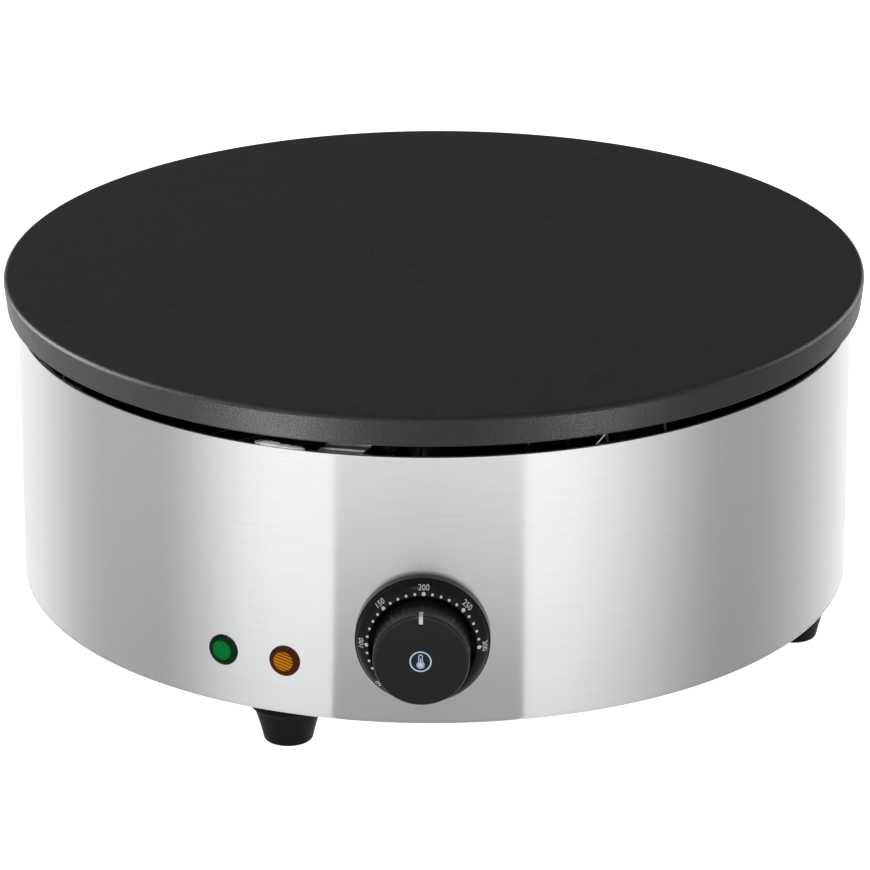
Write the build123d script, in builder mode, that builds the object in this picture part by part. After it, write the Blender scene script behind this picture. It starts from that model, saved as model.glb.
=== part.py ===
from build123d import *

import os
from math import cos, radians, sin, tan

os.makedirs("parts", exist_ok=True)

# Electric crepe maker: a round cast-iron griddle plate on a rolled stainless drum.
# Millimetres. The origin is on the drum's axis at floor level, +Z is up, and the
# control knob faces -Y. A "bearing" is an angle about the axis, counted from the
# knob towards +X. "Reach" is a distance straight out from the drum's wall.

# ---------------------------------------------------------------- driving dimensions
foot_height = 21.0
drum_height = 127.0
drum_radius = 194.0
sheet = 1.0
vent_gap = 6.5
plate_radius = 200.0
plate_edge_height = 14.0
plate_lower_radius = 198.7
plate_web = 10.0
plate_rim_round = 2.2
plate_corner_allowance = 0.25
skirt_width = 9.7

control_turn = 27.6
bracket_turn = 29.9
foot_circle = 174.0
foot_half_angle = 48.3
foot_neck_radius = 15.5
foot_middle_radius = 13.15
foot_bottom_radius = 10.9
foot_collar_radius = 17.0
foot_collar_height = 3.6

knob_above_drum_foot = 42.2
knob_radius = 21.2
knob_back_reach = 3.6
knob_front_reach = 27.0
bezel_radius = 29.85
bezel_bore_radius = 23.1
bezel_floor = 3.0
shaft_radius = 3.0
shaft_clearance = 0.05
pointer_width = 1.75

lamp_above_drum_foot = 25.8
green_lamp_bearing = -27.45
amber_lamp_bearing = -18.5
lamp_radius = 7.15
lamp_barrel_radius = 6.2

element_radius = 4.0
outer_loop = 150.0
inner_loop = 95.0
seat_depth = 4.5
seat_half_width = 9.0
element_start = -26.0
element_turn = 24.0
element_finish = -18.0
cold_end_bend = 12.0

clamp_thickness = 1.2
insulation_thickness = 7.2
shield_sheet = 0.8
shield_radius = 160.8
shield_rim = 8.2
clamp_stud_circle = 122.5
plate_stud_circle = 172.0
stud_radius = 3.0
nut_flats = 10.0
nut_height = 5.0

gland_height = 50.0
gland_bearing = 180.0
gland_bore = 4.75

# ---------------------------------------------------------------- heights and lists
drum_bottom = foot_height
drum_top = drum_bottom + drum_height
plate_bottom = drum_top + vent_gap
plate_top = plate_bottom + plate_edge_height
plate_underside = plate_top - plate_web
base_top = drum_bottom
base_bottom = drum_bottom - sheet
base_field_lift = 3.0
field_top = base_top + base_field_lift
knob_height = drum_bottom + knob_above_drum_foot
lamp_height = drum_bottom + lamp_above_drum_foot
inner_wall = drum_radius - sheet
hem_inner = drum_radius - 2 * sheet

element_height = plate_underside - seat_depth
clamp_top = element_height - element_radius
clamp_bottom = clamp_top - clamp_thickness
insulation_bottom = clamp_bottom - insulation_thickness
shield_bottom = insulation_bottom - shield_sheet

bracket_top = drum_top - 2.0
bracket_sheet = 1.2
bracket_bearings = [bracket_turn + quarter * 90 for quarter in range(4)]
foot_bearings = {
    "foot_front": control_turn - foot_half_angle,
    "foot_right": control_turn + foot_half_angle,
    "foot_rear": control_turn - foot_half_angle + 180,
    "foot_left": control_turn + foot_half_angle + 180,
}
clamp_stud_bearings = [90, 180, 270]
base_screw_circle = 183.0
base_screw_bearings = [control_turn + 22.5 + step * 45 for step in range(8)]


# ---------------------------------------------------------------- placing helpers
def outward(bearing):
    """Unit vector that points straight out from the axis at a bearing."""
    return Vector(sin(radians(bearing)), -cos(radians(bearing)), 0)


def across(bearing):
    """Unit vector along the wall, to the right of someone who faces it."""
    return Vector(cos(radians(bearing)), sin(radians(bearing)), 0)


def spot(radius, bearing, height):
    """Point at a radius, bearing and height."""
    return outward(bearing) * radius + Vector(0, 0, height)


def level_plane(bearing, height, radius=0.0):
    """Level plane whose local X points outward and whose local Y runs along the wall."""
    return Plane(origin=spot(radius, bearing, height), x_dir=outward(bearing), z_dir=(0, 0, 1))


def wall_plane(bearing, height, reach=0.0):
    """Upright plane in front of the wall, seen from outside: X to the right, Y up."""
    return Plane(
        origin=spot(drum_radius + reach, bearing, height),
        x_dir=across(bearing),
        z_dir=outward(bearing),
    )


def turning_plane(bearing, height):
    """Plane for turned profiles on the wall: local X is the radius, local Y the reach."""
    return Plane(
        origin=spot(drum_radius, bearing, height), x_dir=across(bearing), z_dir=(0, 0, -1)
    )


def turning_axis(bearing, height):
    """Axis straight out of the wall at a bearing and height."""
    return Axis(origin=spot(drum_radius, bearing, height), direction=outward(bearing))


clamp_spots = [spot(clamp_stud_circle, bearing, 0) for bearing in clamp_stud_bearings]
bracket_spots = [spot(plate_stud_circle, bearing, 0) for bearing in bracket_bearings]
foot_spots = [spot(foot_circle, bearing, 0) for bearing in foot_bearings.values()]
base_screw_spots = [spot(base_screw_circle, bearing, 0) for bearing in base_screw_bearings]


# ---------------------------------------------------------------- repeated fasteners
def rods(spots, radius, bottom, length, nose=0.0):
    """Upright round rods, one at each spot, with a chamfered lower end."""
    with BuildPart() as group:
        with BuildSketch(Plane.XY.offset(bottom)):
            with Locations(*spots):
                Circle(radius)
        extrude(amount=length)
        if nose:
            chamfer(group.edges().group_by(Axis.Z)[0], nose)
    return group


def washers(spots, radius, bore, bottoms, thickness):
    """Flat washers on each spot, one at each level."""
    with BuildPart() as group:
        for bottom in bottoms:
            with BuildSketch(Plane.XY.offset(bottom)):
                with Locations(*spots):
                    Circle(radius)
                    Circle(bore, mode=Mode.SUBTRACT)
            extrude(amount=thickness)
    return group


def hex_nuts(spots, flats, bore, bottoms, height, turn=0.0):
    """Hexagon nuts on each spot, one at each level."""
    with BuildPart() as group:
        for bottom in bottoms:
            with BuildSketch(Plane.XY.offset(bottom)):
                with Locations(*spots):
                    RegularPolygon(flats / 2, 6, rotation=turn, major_radius=False)
                    Circle(bore, mode=Mode.SUBTRACT)
            extrude(amount=height)
    return group


def headed_screws(spots, head_radius, head_height, shank_radius, head_bottom, length, crown=0.0):
    """Screws that point up: a head below, crowned if asked, and a shank above it."""
    with BuildPart() as group:
        with BuildSketch(Plane.XY.offset(head_bottom)):
            with Locations(*spots):
                Circle(head_radius)
        extrude(amount=head_height)
        if crown:
            fillet(group.edges().group_by(Axis.Z)[0], crown)
        with BuildSketch(Plane.XY.offset(head_bottom + head_height)):
            with Locations(*spots):
                Circle(shank_radius)
        extrude(amount=length)
    return group


# ---------------------------------------------------------------- griddle plate
boss_radius = 8.0
bracket_boss_radius = 9.0
clamp_stud_depth = 12.0
plate_stud_depth = 16.0
window_reach = 260.0

with BuildPart() as cooking_plate:
    with BuildSketch(Plane.XZ) as plate_half:
        with BuildLine():
            Polyline(
                (0, plate_underside),
                (0, plate_top),
                (plate_radius + plate_corner_allowance, plate_top),
                (plate_lower_radius, plate_bottom),
                (plate_lower_radius - skirt_width, plate_bottom),
                (plate_lower_radius - skirt_width - 1.5, plate_underside),
                (0, plate_underside),
            )
        make_face()
        fillet(plate_half.vertices().sort_by(Axis.X)[-1], plate_rim_round)
        fillet(plate_half.vertices().group_by(Axis.Y)[0], 1.0)
    revolve(axis=Axis.Z)
    # Seats for the two heater loops: raised bands, open at the front for the cold ends.
    with BuildSketch(Plane.XY.offset(element_height)):
        for loop in (outer_loop, inner_loop):
            Circle(loop + seat_half_width)
            Circle(loop - seat_half_width, mode=Mode.SUBTRACT)
            if loop == outer_loop:
                Circle(inner_loop + seat_half_width)
        with BuildLine():
            left_corner = spot(window_reach, element_start - 1, 0)
            right_corner = spot(window_reach, element_turn + 1, 0)
            Polyline((0, 0), left_corner, right_corner, (0, 0))
        make_face(mode=Mode.SUBTRACT)
    extrude(amount=seat_depth)
    # Bosses for the clamp studs and the bracket studs.
    with BuildSketch(Plane.XY.offset(clamp_top)):
        with Locations(*clamp_spots):
            Circle(boss_radius)
    extrude(amount=plate_underside - clamp_top)
    with BuildSketch(Plane.XY.offset(bracket_top)):
        with Locations(*bracket_spots):
            Circle(bracket_boss_radius)
    extrude(amount=plate_underside - bracket_top)
    # Half-round grooves that the heater tube lies in.
    with BuildSketch(Plane.XZ):
        for loop in (outer_loop, inner_loop):
            with Locations((loop, element_height)):
                Circle(element_radius + 0.05)
    revolve(axis=Axis.Z, mode=Mode.SUBTRACT)
    # Blind holes for the studs.
    with BuildSketch(Plane.XY.offset(clamp_top)):
        with Locations(*clamp_spots):
            Circle(stud_radius)
    extrude(amount=clamp_stud_depth, mode=Mode.SUBTRACT)
    with BuildSketch(Plane.XY.offset(bracket_top)):
        with Locations(*bracket_spots):
            Circle(stud_radius)
    extrude(amount=plate_stud_depth, mode=Mode.SUBTRACT)

cooking_plate.part.label = "cooking_plate"
export_step(cooking_plate.part, "parts/cooking_plate.step")

# ---------------------------------------------------------------- heating element
cold_end_bottom = 118.0


def cold_end(loop, bearing, travel):
    """Bend of a cold end: start on the loop, middle and end of the bend, way of travel."""
    start = spot(loop, bearing, element_height)
    ahead = across(bearing) * travel
    centre = start - Vector(0, 0, cold_end_bend)
    middle = centre + (ahead + Vector(0, 0, 1)).normalized() * cold_end_bend
    return start, middle, centre + ahead * cold_end_bend


outer_start, outer_middle, outer_end = cold_end(outer_loop, element_start, 1)
inner_start, inner_middle, inner_end = cold_end(inner_loop, element_finish, 1)
loop_middle = (outer_loop + inner_loop) / 2
turn_radius = (outer_loop - inner_loop) / 2
around_the_back = 360 - (element_turn - element_start)

with BuildPart() as heating_element:
    with BuildLine() as element_path:
        Line(Vector(outer_end.X, outer_end.Y, cold_end_bottom), outer_end)
        ThreePointArc(outer_end, outer_middle, outer_start)
        ThreePointArc(
            outer_start,
            spot(outer_loop, element_start - around_the_back / 2, element_height),
            spot(outer_loop, element_turn, element_height),
        )
        ThreePointArc(
            spot(outer_loop, element_turn, element_height),
            spot(loop_middle, element_turn, element_height) - across(element_turn) * turn_radius,
            spot(inner_loop, element_turn, element_height),
        )
        ThreePointArc(
            spot(inner_loop, element_turn, element_height),
            spot(inner_loop, (element_turn + element_finish + 360) / 2, element_height),
            inner_start,
        )
        ThreePointArc(inner_start, inner_middle, inner_end)
        Line(inner_end, Vector(inner_end.X, inner_end.Y, cold_end_bottom))
    with BuildSketch(Plane(origin=element_path.line @ 0, z_dir=element_path.line % 0)):
        Circle(element_radius)
    sweep(path=element_path.line)

heating_element.part.label = "heating_element"
export_step(heating_element.part, "parts/heating_element.step")

cold_spots = [(outer_end.X, outer_end.Y), (inner_end.X, inner_end.Y)]
pin_radius = 2.0
bead_radius = 4.6
bead_bottom = cold_end_bottom - 5.0
pin_bottom = cold_end_bottom - 13.0

terminal_beads = washers(
    cold_spots, bead_radius, pin_radius, [bead_bottom], cold_end_bottom - bead_bottom
)
terminal_beads.part.label = "terminal_beads"
export_step(terminal_beads.part, "parts/terminal_beads.step")

terminal_pins = rods(cold_spots, pin_radius, pin_bottom, cold_end_bottom - pin_bottom, 0.4)
terminal_pins.part.label = "terminal_pins"
export_step(terminal_pins.part, "parts/terminal_pins.step")

# ---------------------------------------------------------------- clamp and insulation
clamp_outer = outer_loop + 7.0
clamp_inner = inner_loop - 11.0
clearance_slot = 2 * element_radius + 3.0
capillary_radius = 1.0
capillary_hole_radius = 3.5
bulb_radius = 3.0
bulb_bearing = 48.0
bulb_half_length = 38.0
bulb_height = plate_underside - bulb_radius - 0.1
bulb_middle = spot(loop_middle, bulb_bearing, bulb_height)
bulb_foot = bulb_middle - across(bulb_bearing) * bulb_half_length
capillary_bend = 4.0
capillary_spot = bulb_foot - across(bulb_bearing) * capillary_bend
capillary_hole = (capillary_spot.X, capillary_spot.Y)
cold_ends = ((outer_start, outer_end, element_start), (inner_start, inner_end, element_finish))
lightening_bearings = [
    bearing + side for bearing in clamp_stud_bearings for side in (-45, -22.5, 22.5)
]
nut_pocket_radius = 10.0


def pass_throughs():
    """Cut the openings for the cold ends and the capillary into the sketch."""
    for start, end, bearing in cold_ends:
        with Locations(((start.X + end.X) / 2, (start.Y + end.Y) / 2)):
            SlotCenterToCenter(
                cold_end_bend, clearance_slot, rotation=bearing, mode=Mode.SUBTRACT
            )
    with Locations(capillary_hole):
        Circle(capillary_hole_radius, mode=Mode.SUBTRACT)


with BuildPart() as element_clamp:
    with BuildSketch(Plane.XY.offset(clamp_bottom)):
        Circle(clamp_outer)
        Circle(clamp_inner, mode=Mode.SUBTRACT)
        with Locations(*clamp_spots):
            Circle(stud_radius + 0.3, mode=Mode.SUBTRACT)
        for bearing in lightening_bearings:
            with Locations(spot(clamp_stud_circle, bearing, 0)):
                Circle(boss_radius, mode=Mode.SUBTRACT)
        pass_throughs()
    extrude(amount=clamp_thickness)

element_clamp.part.label = "element_clamp"
export_step(element_clamp.part, "parts/element_clamp.step")

with BuildPart() as insulation_disc:
    with BuildSketch(Plane.XY.offset(insulation_bottom)):
        Circle(shield_radius - shield_sheet - 0.4)
    extrude(amount=insulation_thickness)
    fillet(insulation_disc.edges().group_by(Axis.Z)[0], 1.5)
    with BuildSketch(Plane.XY.offset(insulation_bottom)):
        Circle(shield_radius)
        with Locations(*clamp_spots):
            Circle(nut_pocket_radius, mode=Mode.SUBTRACT)
        pass_throughs()
    extrude(amount=insulation_thickness, mode=Mode.INTERSECT)

insulation_disc.part.label = "insulation_disc"
export_step(insulation_disc.part, "parts/insulation_disc.step")

with BuildPart() as heat_shield:
    with BuildSketch(Plane.XY.offset(shield_bottom)):
        Circle(shield_radius)
    extrude(amount=shield_rim)
    fillet(heat_shield.edges().group_by(Axis.Z)[0], 2.0)
    offset(amount=-shield_sheet, openings=heat_shield.faces().sort_by(Axis.Z)[-1])
    with BuildSketch(Plane.XY.offset(shield_bottom)):
        Circle(shield_radius)
        with Locations(*clamp_spots):
            Circle(stud_radius + 0.3, mode=Mode.SUBTRACT)
        pass_throughs()
    extrude(amount=shield_rim, mode=Mode.INTERSECT)

heat_shield.part.label = "heat_shield"
export_step(heat_shield.part, "parts/heat_shield.step")

clamp_stud_bottom = shield_bottom - 8.0
clamp_stud_length = clamp_top + clamp_stud_depth - clamp_stud_bottom
clamp_studs = rods(clamp_spots, stud_radius, clamp_stud_bottom, clamp_stud_length, 0.6)
clamp_studs.part.label = "clamp_studs"
export_step(clamp_studs.part, "parts/clamp_studs.step")

clamp_nuts = hex_nuts(
    clamp_spots, nut_flats, stud_radius, [clamp_bottom - nut_height], nut_height
)
clamp_nuts.part.label = "clamp_nuts"
export_step(clamp_nuts.part, "parts/clamp_nuts.step")

with BuildPart() as shield_nuts:
    add(hex_nuts(clamp_spots, nut_flats, stud_radius, [shield_bottom - nut_height], nut_height).part)
    add(washers(clamp_spots, 0.7 * nut_flats, stud_radius, [shield_bottom - 1.2], 1.2).part)

shield_nuts.part.label = "shield_nuts"
export_step(shield_nuts.part, "parts/shield_nuts.step")

# ---------------------------------------------------------------- plate brackets
# Pressed channels welded to the hem of the drum; their upright sides show in the gap.
bracket_inner = 162.0
bracket_half_width = 15.3
bracket_tab_drop = 9.0
flange_top = plate_underside - 2.5
flange_foot_reach = 188.0
flange_head_reach = 184.0

with BuildPart() as plate_brackets:
    for bearing in bracket_bearings:
        with BuildSketch(level_plane(bearing, bracket_top - bracket_sheet)):
            Circle(hem_inner)
            with Locations(((bracket_inner + drum_radius) / 2, 0)):
                Rectangle(
                    drum_radius - bracket_inner, 2 * bracket_half_width, mode=Mode.INTERSECT
                )
            with Locations((plate_stud_circle, 0)):
                Circle(stud_radius + 0.3, mode=Mode.SUBTRACT)
        extrude(amount=bracket_sheet)
        with BuildSketch(level_plane(bearing, bracket_top - bracket_sheet - bracket_tab_drop)):
            Circle(hem_inner)
            Circle(hem_inner - bracket_sheet, mode=Mode.SUBTRACT)
            with Locations((drum_radius, 0)):
                Rectangle(8 * bracket_sheet, 2 * bracket_half_width - 4, mode=Mode.INTERSECT)
        extrude(amount=bracket_tab_drop)
        for side in (-1, 1):
            inner_face = side * (bracket_half_width - bracket_sheet)
            flange_plane = Plane(
                origin=across(bearing) * inner_face, x_dir=outward(bearing), z_dir=-across(bearing)
            )
            with BuildSketch(flange_plane):
                with BuildLine():
                    Polyline(
                        (bracket_inner, bracket_top - bracket_sheet),
                        (flange_foot_reach, bracket_top - bracket_sheet),
                        (flange_head_reach, flange_top),
                        (bracket_inner + 4, flange_top),
                        (bracket_inner, flange_top - 4),
                        (bracket_inner, bracket_top - bracket_sheet),
                    )
                make_face()
            extrude(amount=-side * bracket_sheet)

plate_brackets.part.label = "plate_brackets"
export_step(plate_brackets.part, "parts/plate_brackets.step")

bracket_bottom = bracket_top - bracket_sheet
washer_thickness = 1.0
washer_radius = 6.2
plate_nut_bottom = bracket_bottom - washer_thickness - nut_height
plate_stud_bottom = plate_nut_bottom - 2.0
plate_stud_length = bracket_top + plate_stud_depth - plate_stud_bottom

plate_studs = rods(bracket_spots, stud_radius, plate_stud_bottom, plate_stud_length, 0.6)
plate_studs.part.label = "plate_studs"
export_step(plate_studs.part, "parts/plate_studs.step")

plate_washers = washers(
    bracket_spots, washer_radius, stud_radius, [bracket_bottom - washer_thickness], washer_thickness
)
plate_washers.part.label = "plate_washers"
export_step(plate_washers.part, "parts/plate_washers.step")

plate_nuts = hex_nuts(
    bracket_spots, nut_flats, stud_radius, [plate_nut_bottom], nut_height, bracket_turn
)
plate_nuts.part.label = "plate_nuts"
export_step(plate_nuts.part, "parts/plate_nuts.step")

# ---------------------------------------------------------------- earth strap
# Flat bonding strap: down from the underside of the plate, then out and up to hook
# behind the hem of the drum.
strap_bearing = -10.85
strap_half_width = 10.0
strap_sheet = 0.8
strap_screw_radius = 2.0
strap_screw_circle = 179.0
strap_drop_circle = 173.6
strap_low_height = drum_top - 4.4
strap_hook_height = drum_top - 0.2
strap_plane = Plane(
    origin=across(strap_bearing) * -strap_half_width,
    x_dir=outward(strap_bearing),
    z_dir=-across(strap_bearing),
)

with BuildPart() as earth_strap:
    with BuildSketch(strap_plane):
        with BuildLine() as strap_line:
            FilletPolyline(
                (185.0, plate_underside - strap_sheet / 2),
                (strap_drop_circle, plate_underside - strap_sheet / 2),
                (strap_drop_circle, strap_low_height),
                (hem_inner - 1.0, strap_hook_height),
                (hem_inner - 1.0, drum_top - 12.0),
                radius=1.4,
            )
        trace(strap_line.line, line_width=strap_sheet)
    extrude(amount=-2 * strap_half_width)
    with BuildSketch(Plane.XY.offset(plate_underside - 2)):
        with Locations(spot(strap_screw_circle, strap_bearing, 0)):
            Circle(strap_screw_radius)
    extrude(amount=4, mode=Mode.SUBTRACT)

earth_strap.part.label = "earth_strap"
export_step(earth_strap.part, "parts/earth_strap.step")

earth_strap_screw = headed_screws(
    [spot(strap_screw_circle, strap_bearing, 0)],
    3.6,
    1.6,
    strap_screw_radius,
    plate_underside - strap_sheet - 1.6,
    strap_sheet,
)
earth_strap_screw.part.label = "earth_strap_screw"
export_step(earth_strap_screw.part, "parts/earth_strap_screw.step")

# ---------------------------------------------------------------- drum
hem_drop = 12.0
bottom_flange = 14.0
flange_round = 1.5
shaft_hole_radius = 5.3
panel_screw_spacing = 34.0
panel_screw_radius = 2.1
lamp_hole_radius = 6.3
gland_thread_radius = 10.0
base_screw_radius = 1.7

with BuildPart() as housing_drum:
    with BuildSketch(Plane.XZ) as wall_section:
        with BuildLine():
            Line((hem_inner, drum_top - hem_drop), (hem_inner, drum_top - sheet))
            ThreePointArc(
                (hem_inner, drum_top - sheet),
                (inner_wall, drum_top),
                (drum_radius, drum_top - sheet),
            )
            Line((drum_radius, drum_top - sheet), (drum_radius, drum_bottom + flange_round))
            RadiusArc(
                (drum_radius, drum_bottom + flange_round),
                (drum_radius - flange_round, drum_bottom),
                flange_round,
            )
            Polyline(
                (drum_radius - flange_round, drum_bottom),
                (drum_radius - bottom_flange, drum_bottom),
                (drum_radius - bottom_flange, drum_bottom + sheet),
                (drum_radius - flange_round, drum_bottom + sheet),
            )
            RadiusArc(
                (drum_radius - flange_round, drum_bottom + sheet),
                (inner_wall, drum_bottom + flange_round),
                -(flange_round - sheet),
            )
            Polyline(
                (inner_wall, drum_bottom + flange_round),
                (inner_wall, drum_top - hem_drop),
                (hem_inner, drum_top - hem_drop),
            )
        make_face()
    revolve(axis=Axis.Z)
    # Control hole, with a screw hole above and below it on the wall's straight line.
    with BuildSketch(wall_plane(0, knob_height, 5)):
        Circle(shaft_hole_radius)
        with GridLocations(1, panel_screw_spacing, 1, 2):
            Circle(panel_screw_radius)
    extrude(amount=-15, mode=Mode.SUBTRACT)
    for bearing in (green_lamp_bearing, amber_lamp_bearing):
        with BuildSketch(wall_plane(bearing, lamp_height, 5)):
            Circle(lamp_hole_radius)
        extrude(amount=-15, mode=Mode.SUBTRACT)
    with BuildSketch(wall_plane(gland_bearing, gland_height, 5)):
        Circle(gland_thread_radius + 0.2)
    extrude(amount=-15, mode=Mode.SUBTRACT)
    # Pilot holes in the bottom flange for the base screws.
    with BuildSketch(Plane.XY.offset(drum_bottom)):
        with Locations(*base_screw_spots):
            Circle(base_screw_radius)
    extrude(amount=sheet, mode=Mode.SUBTRACT)

housing_drum.part.label = "housing_drum"
export_step(housing_drum.part, "parts/housing_drum.step")

# ---------------------------------------------------------------- base cover
base_radius = 190.0
field_radius = 150.0
slot_rings = {55.0: 8, 85.0: 12, 115.0: 16}
slot_length = 20.0
slot_width = 4.5
foot_screw_radius = 2.5

with BuildPart() as base_plate:
    with BuildSketch(Plane.XZ):
        with BuildLine():
            Polyline(
                (0, field_top),
                (field_radius - 1, field_top),
                (field_radius + 2.5, base_top),
                (base_radius, base_top),
                (base_radius, base_bottom),
                (field_radius + 2, base_bottom),
                (field_radius - 1.5, field_top - sheet),
                (0, field_top - sheet),
                (0, field_top),
            )
        make_face()
    revolve(axis=Axis.Z)
    # Radial ventilation slots in three rings.
    with BuildSketch(Plane.XY.offset(field_top - sheet)):
        for ring_radius, count in slot_rings.items():
            with PolarLocations(ring_radius, count, start_angle=control_turn):
                SlotOverall(slot_length, slot_width)
    extrude(amount=sheet, mode=Mode.SUBTRACT)
    with BuildSketch(Plane.XY.offset(base_bottom)):
        with Locations(*base_screw_spots):
            Circle(base_screw_radius + 0.4)
        with Locations(*foot_spots):
            Circle(foot_screw_radius + 0.2)
    extrude(amount=sheet, mode=Mode.SUBTRACT)

base_plate.part.label = "base_plate"
export_step(base_plate.part, "parts/base_plate.step")

base_screws = headed_screws(
    base_screw_spots, 3.5, 1.8, base_screw_radius, base_bottom - 1.8, 6.8, crown=1.1
)
base_screws.part.label = "base_screws"
export_step(base_screws.part, "parts/base_screws.step")

# ---------------------------------------------------------------- rubber feet
foot_top = base_bottom
foot_middle_height = 9.3
recess_radius = 5.6
recess_depth = 9.0

for foot_name, bearing in foot_bearings.items():
    foot_plane = Plane(
        origin=spot(foot_circle, bearing, 0), x_dir=outward(bearing), z_dir=-across(bearing)
    )
    with BuildPart() as foot:
        with BuildSketch(foot_plane) as foot_half:
            with BuildLine():
                Polyline(
                    (foot_screw_radius + 0.1, foot_top),
                    (foot_collar_radius, foot_top),
                    (foot_collar_radius, foot_top - foot_collar_height),
                    (foot_neck_radius, foot_top - foot_collar_height),
                )
                ThreePointArc(
                    (foot_neck_radius, foot_top - foot_collar_height),
                    (foot_middle_radius, foot_middle_height),
                    (foot_bottom_radius, 0),
                )
                Polyline(
                    (foot_bottom_radius, 0),
                    (recess_radius, 0),
                    (recess_radius, recess_depth),
                    (foot_screw_radius + 0.1, recess_depth),
                    (foot_screw_radius + 0.1, foot_top),
                )
            make_face()
            fillet(foot_half.vertices().group_by(Axis.X)[-1], 1.4)
            tread_corner = foot_half.vertices().group_by(Axis.Y)[0].sort_by(Axis.X)[-1]
            fillet(tread_corner, 1.8)
        revolve(axis=Axis(origin=spot(foot_circle, bearing, 0), direction=(0, 0, 1)))
    foot.part.label = foot_name
    export_step(foot.part, f"parts/{foot_name}.step")

foot_washer_thickness = 1.0
foot_head_height = 3.2
foot_head_bottom = recess_depth - foot_washer_thickness - foot_head_height
foot_shank_length = base_top + 8.0 - (foot_head_bottom + foot_head_height)

foot_screws = headed_screws(
    foot_spots, 4.4, foot_head_height, foot_screw_radius, foot_head_bottom, foot_shank_length, 1.5
)
foot_screws.part.label = "foot_screws"
export_step(foot_screws.part, "parts/foot_screws.step")

foot_washers = washers(
    foot_spots,
    5.0,
    foot_screw_radius,
    [recess_depth - foot_washer_thickness, base_top],
    foot_washer_thickness,
)
foot_washers.part.label = "foot_washers"
export_step(foot_washers.part, "parts/foot_washers.step")

foot_nuts = hex_nuts(foot_spots, 8.0, foot_screw_radius, [base_top + foot_washer_thickness], 4.0)
foot_nuts.part.label = "foot_nuts"
export_step(foot_nuts.part, "parts/foot_nuts.step")

# ---------------------------------------------------------------- dial bezel
# A convex ring that hugs the round wall; the knob turns in its well.
bezel_bevel_radius = 29.0
bezel_face_reach = 10.5
bush_radius = 5.0

with BuildPart() as dial_bezel:
    with BuildSketch(turning_plane(0, knob_height)) as bezel_half:
        with BuildLine():
            Polyline(
                (bush_radius + 0.3, -4.0),
                (bezel_radius, -4.0),
                (bezel_radius, 4.2),
                (bezel_bevel_radius, 5.4),
            )
            ThreePointArc(
                (bezel_bevel_radius, 5.4), (27.1, 8.6), (bezel_bore_radius + 0.8, bezel_face_reach)
            )
            Polyline(
                (bezel_bore_radius + 0.8, bezel_face_reach),
                (bezel_bore_radius, bezel_face_reach - 0.6),
                (bezel_bore_radius, bezel_floor),
                (bush_radius + 0.3, bezel_floor),
                (bush_radius + 0.3, -4.0),
            )
        make_face()
    revolve(axis=turning_axis(0, knob_height))
    with BuildSketch(Plane.XY.offset(knob_height - 2 * bezel_radius)):
        Circle(drum_radius)
    extrude(amount=4 * bezel_radius, mode=Mode.SUBTRACT)
    with Locations(wall_plane(0, knob_height, bezel_floor)):
        with GridLocations(1, panel_screw_spacing, 1, 2):
            CounterSinkHole(panel_screw_radius, 3.9, depth=6)

dial_bezel.part.label = "dial_bezel"
export_step(dial_bezel.part, "parts/dial_bezel.step")

# ---------------------------------------------------------------- knob
knob_wall = 2.0
knob_edge_round = 1.6
knob_back_radius = knob_radius + 0.3
hub_radius = 6.5
hub_back_reach = 5.0
hub_bore_reach = 22.5
face_dish = 0.4
pointer_side_length = 5.1
pointer_face_radius = 17.5
shaft_flat = 1.4

with BuildPart() as knob_body:
    with BuildSketch(turning_plane(0, knob_height)) as knob_half:
        with BuildLine():
            ThreePointArc(
                (0, knob_front_reach - face_dish),
                (9.5, knob_front_reach - 0.75 * face_dish),
                (knob_radius - knob_edge_round, knob_front_reach),
            )
            ThreePointArc(
                (knob_radius - knob_edge_round, knob_front_reach),
                (knob_radius - 0.45, knob_front_reach - 0.45),
                (knob_radius, knob_front_reach - knob_edge_round),
            )
            Polyline(
                (knob_radius, knob_front_reach - knob_edge_round),
                (knob_back_radius, knob_back_reach),
                (0, knob_back_reach),
                (0, knob_front_reach - face_dish),
            )
        make_face()
    revolve(axis=turning_axis(0, knob_height))

with BuildPart() as pointer_inlay:
    add(knob_body.part)
    with BuildSketch(wall_plane(0, knob_height, knob_front_reach - pointer_side_length)):
        with Locations((0, (knob_back_radius + pointer_face_radius) / 2 + 1)):
            Rectangle(pointer_width, knob_back_radius - pointer_face_radius + 2)
    extrude(amount=2 * pointer_side_length, mode=Mode.INTERSECT)
    # The bar is a bent strip: what lies deeper than its thickness belongs to the knob.
    with BuildSketch(wall_plane(0, knob_height, knob_front_reach - pointer_side_length - 1)):
        with Locations((0, pointer_face_radius)):
            Rectangle(2 * pointer_width, 2 * (knob_radius - 1.9 - pointer_face_radius))
    extrude(amount=pointer_side_length - 0.9, mode=Mode.SUBTRACT)

pointer_inlay.part.label = "pointer_inlay"
export_step(pointer_inlay.part, "parts/pointer_inlay.step")

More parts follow.
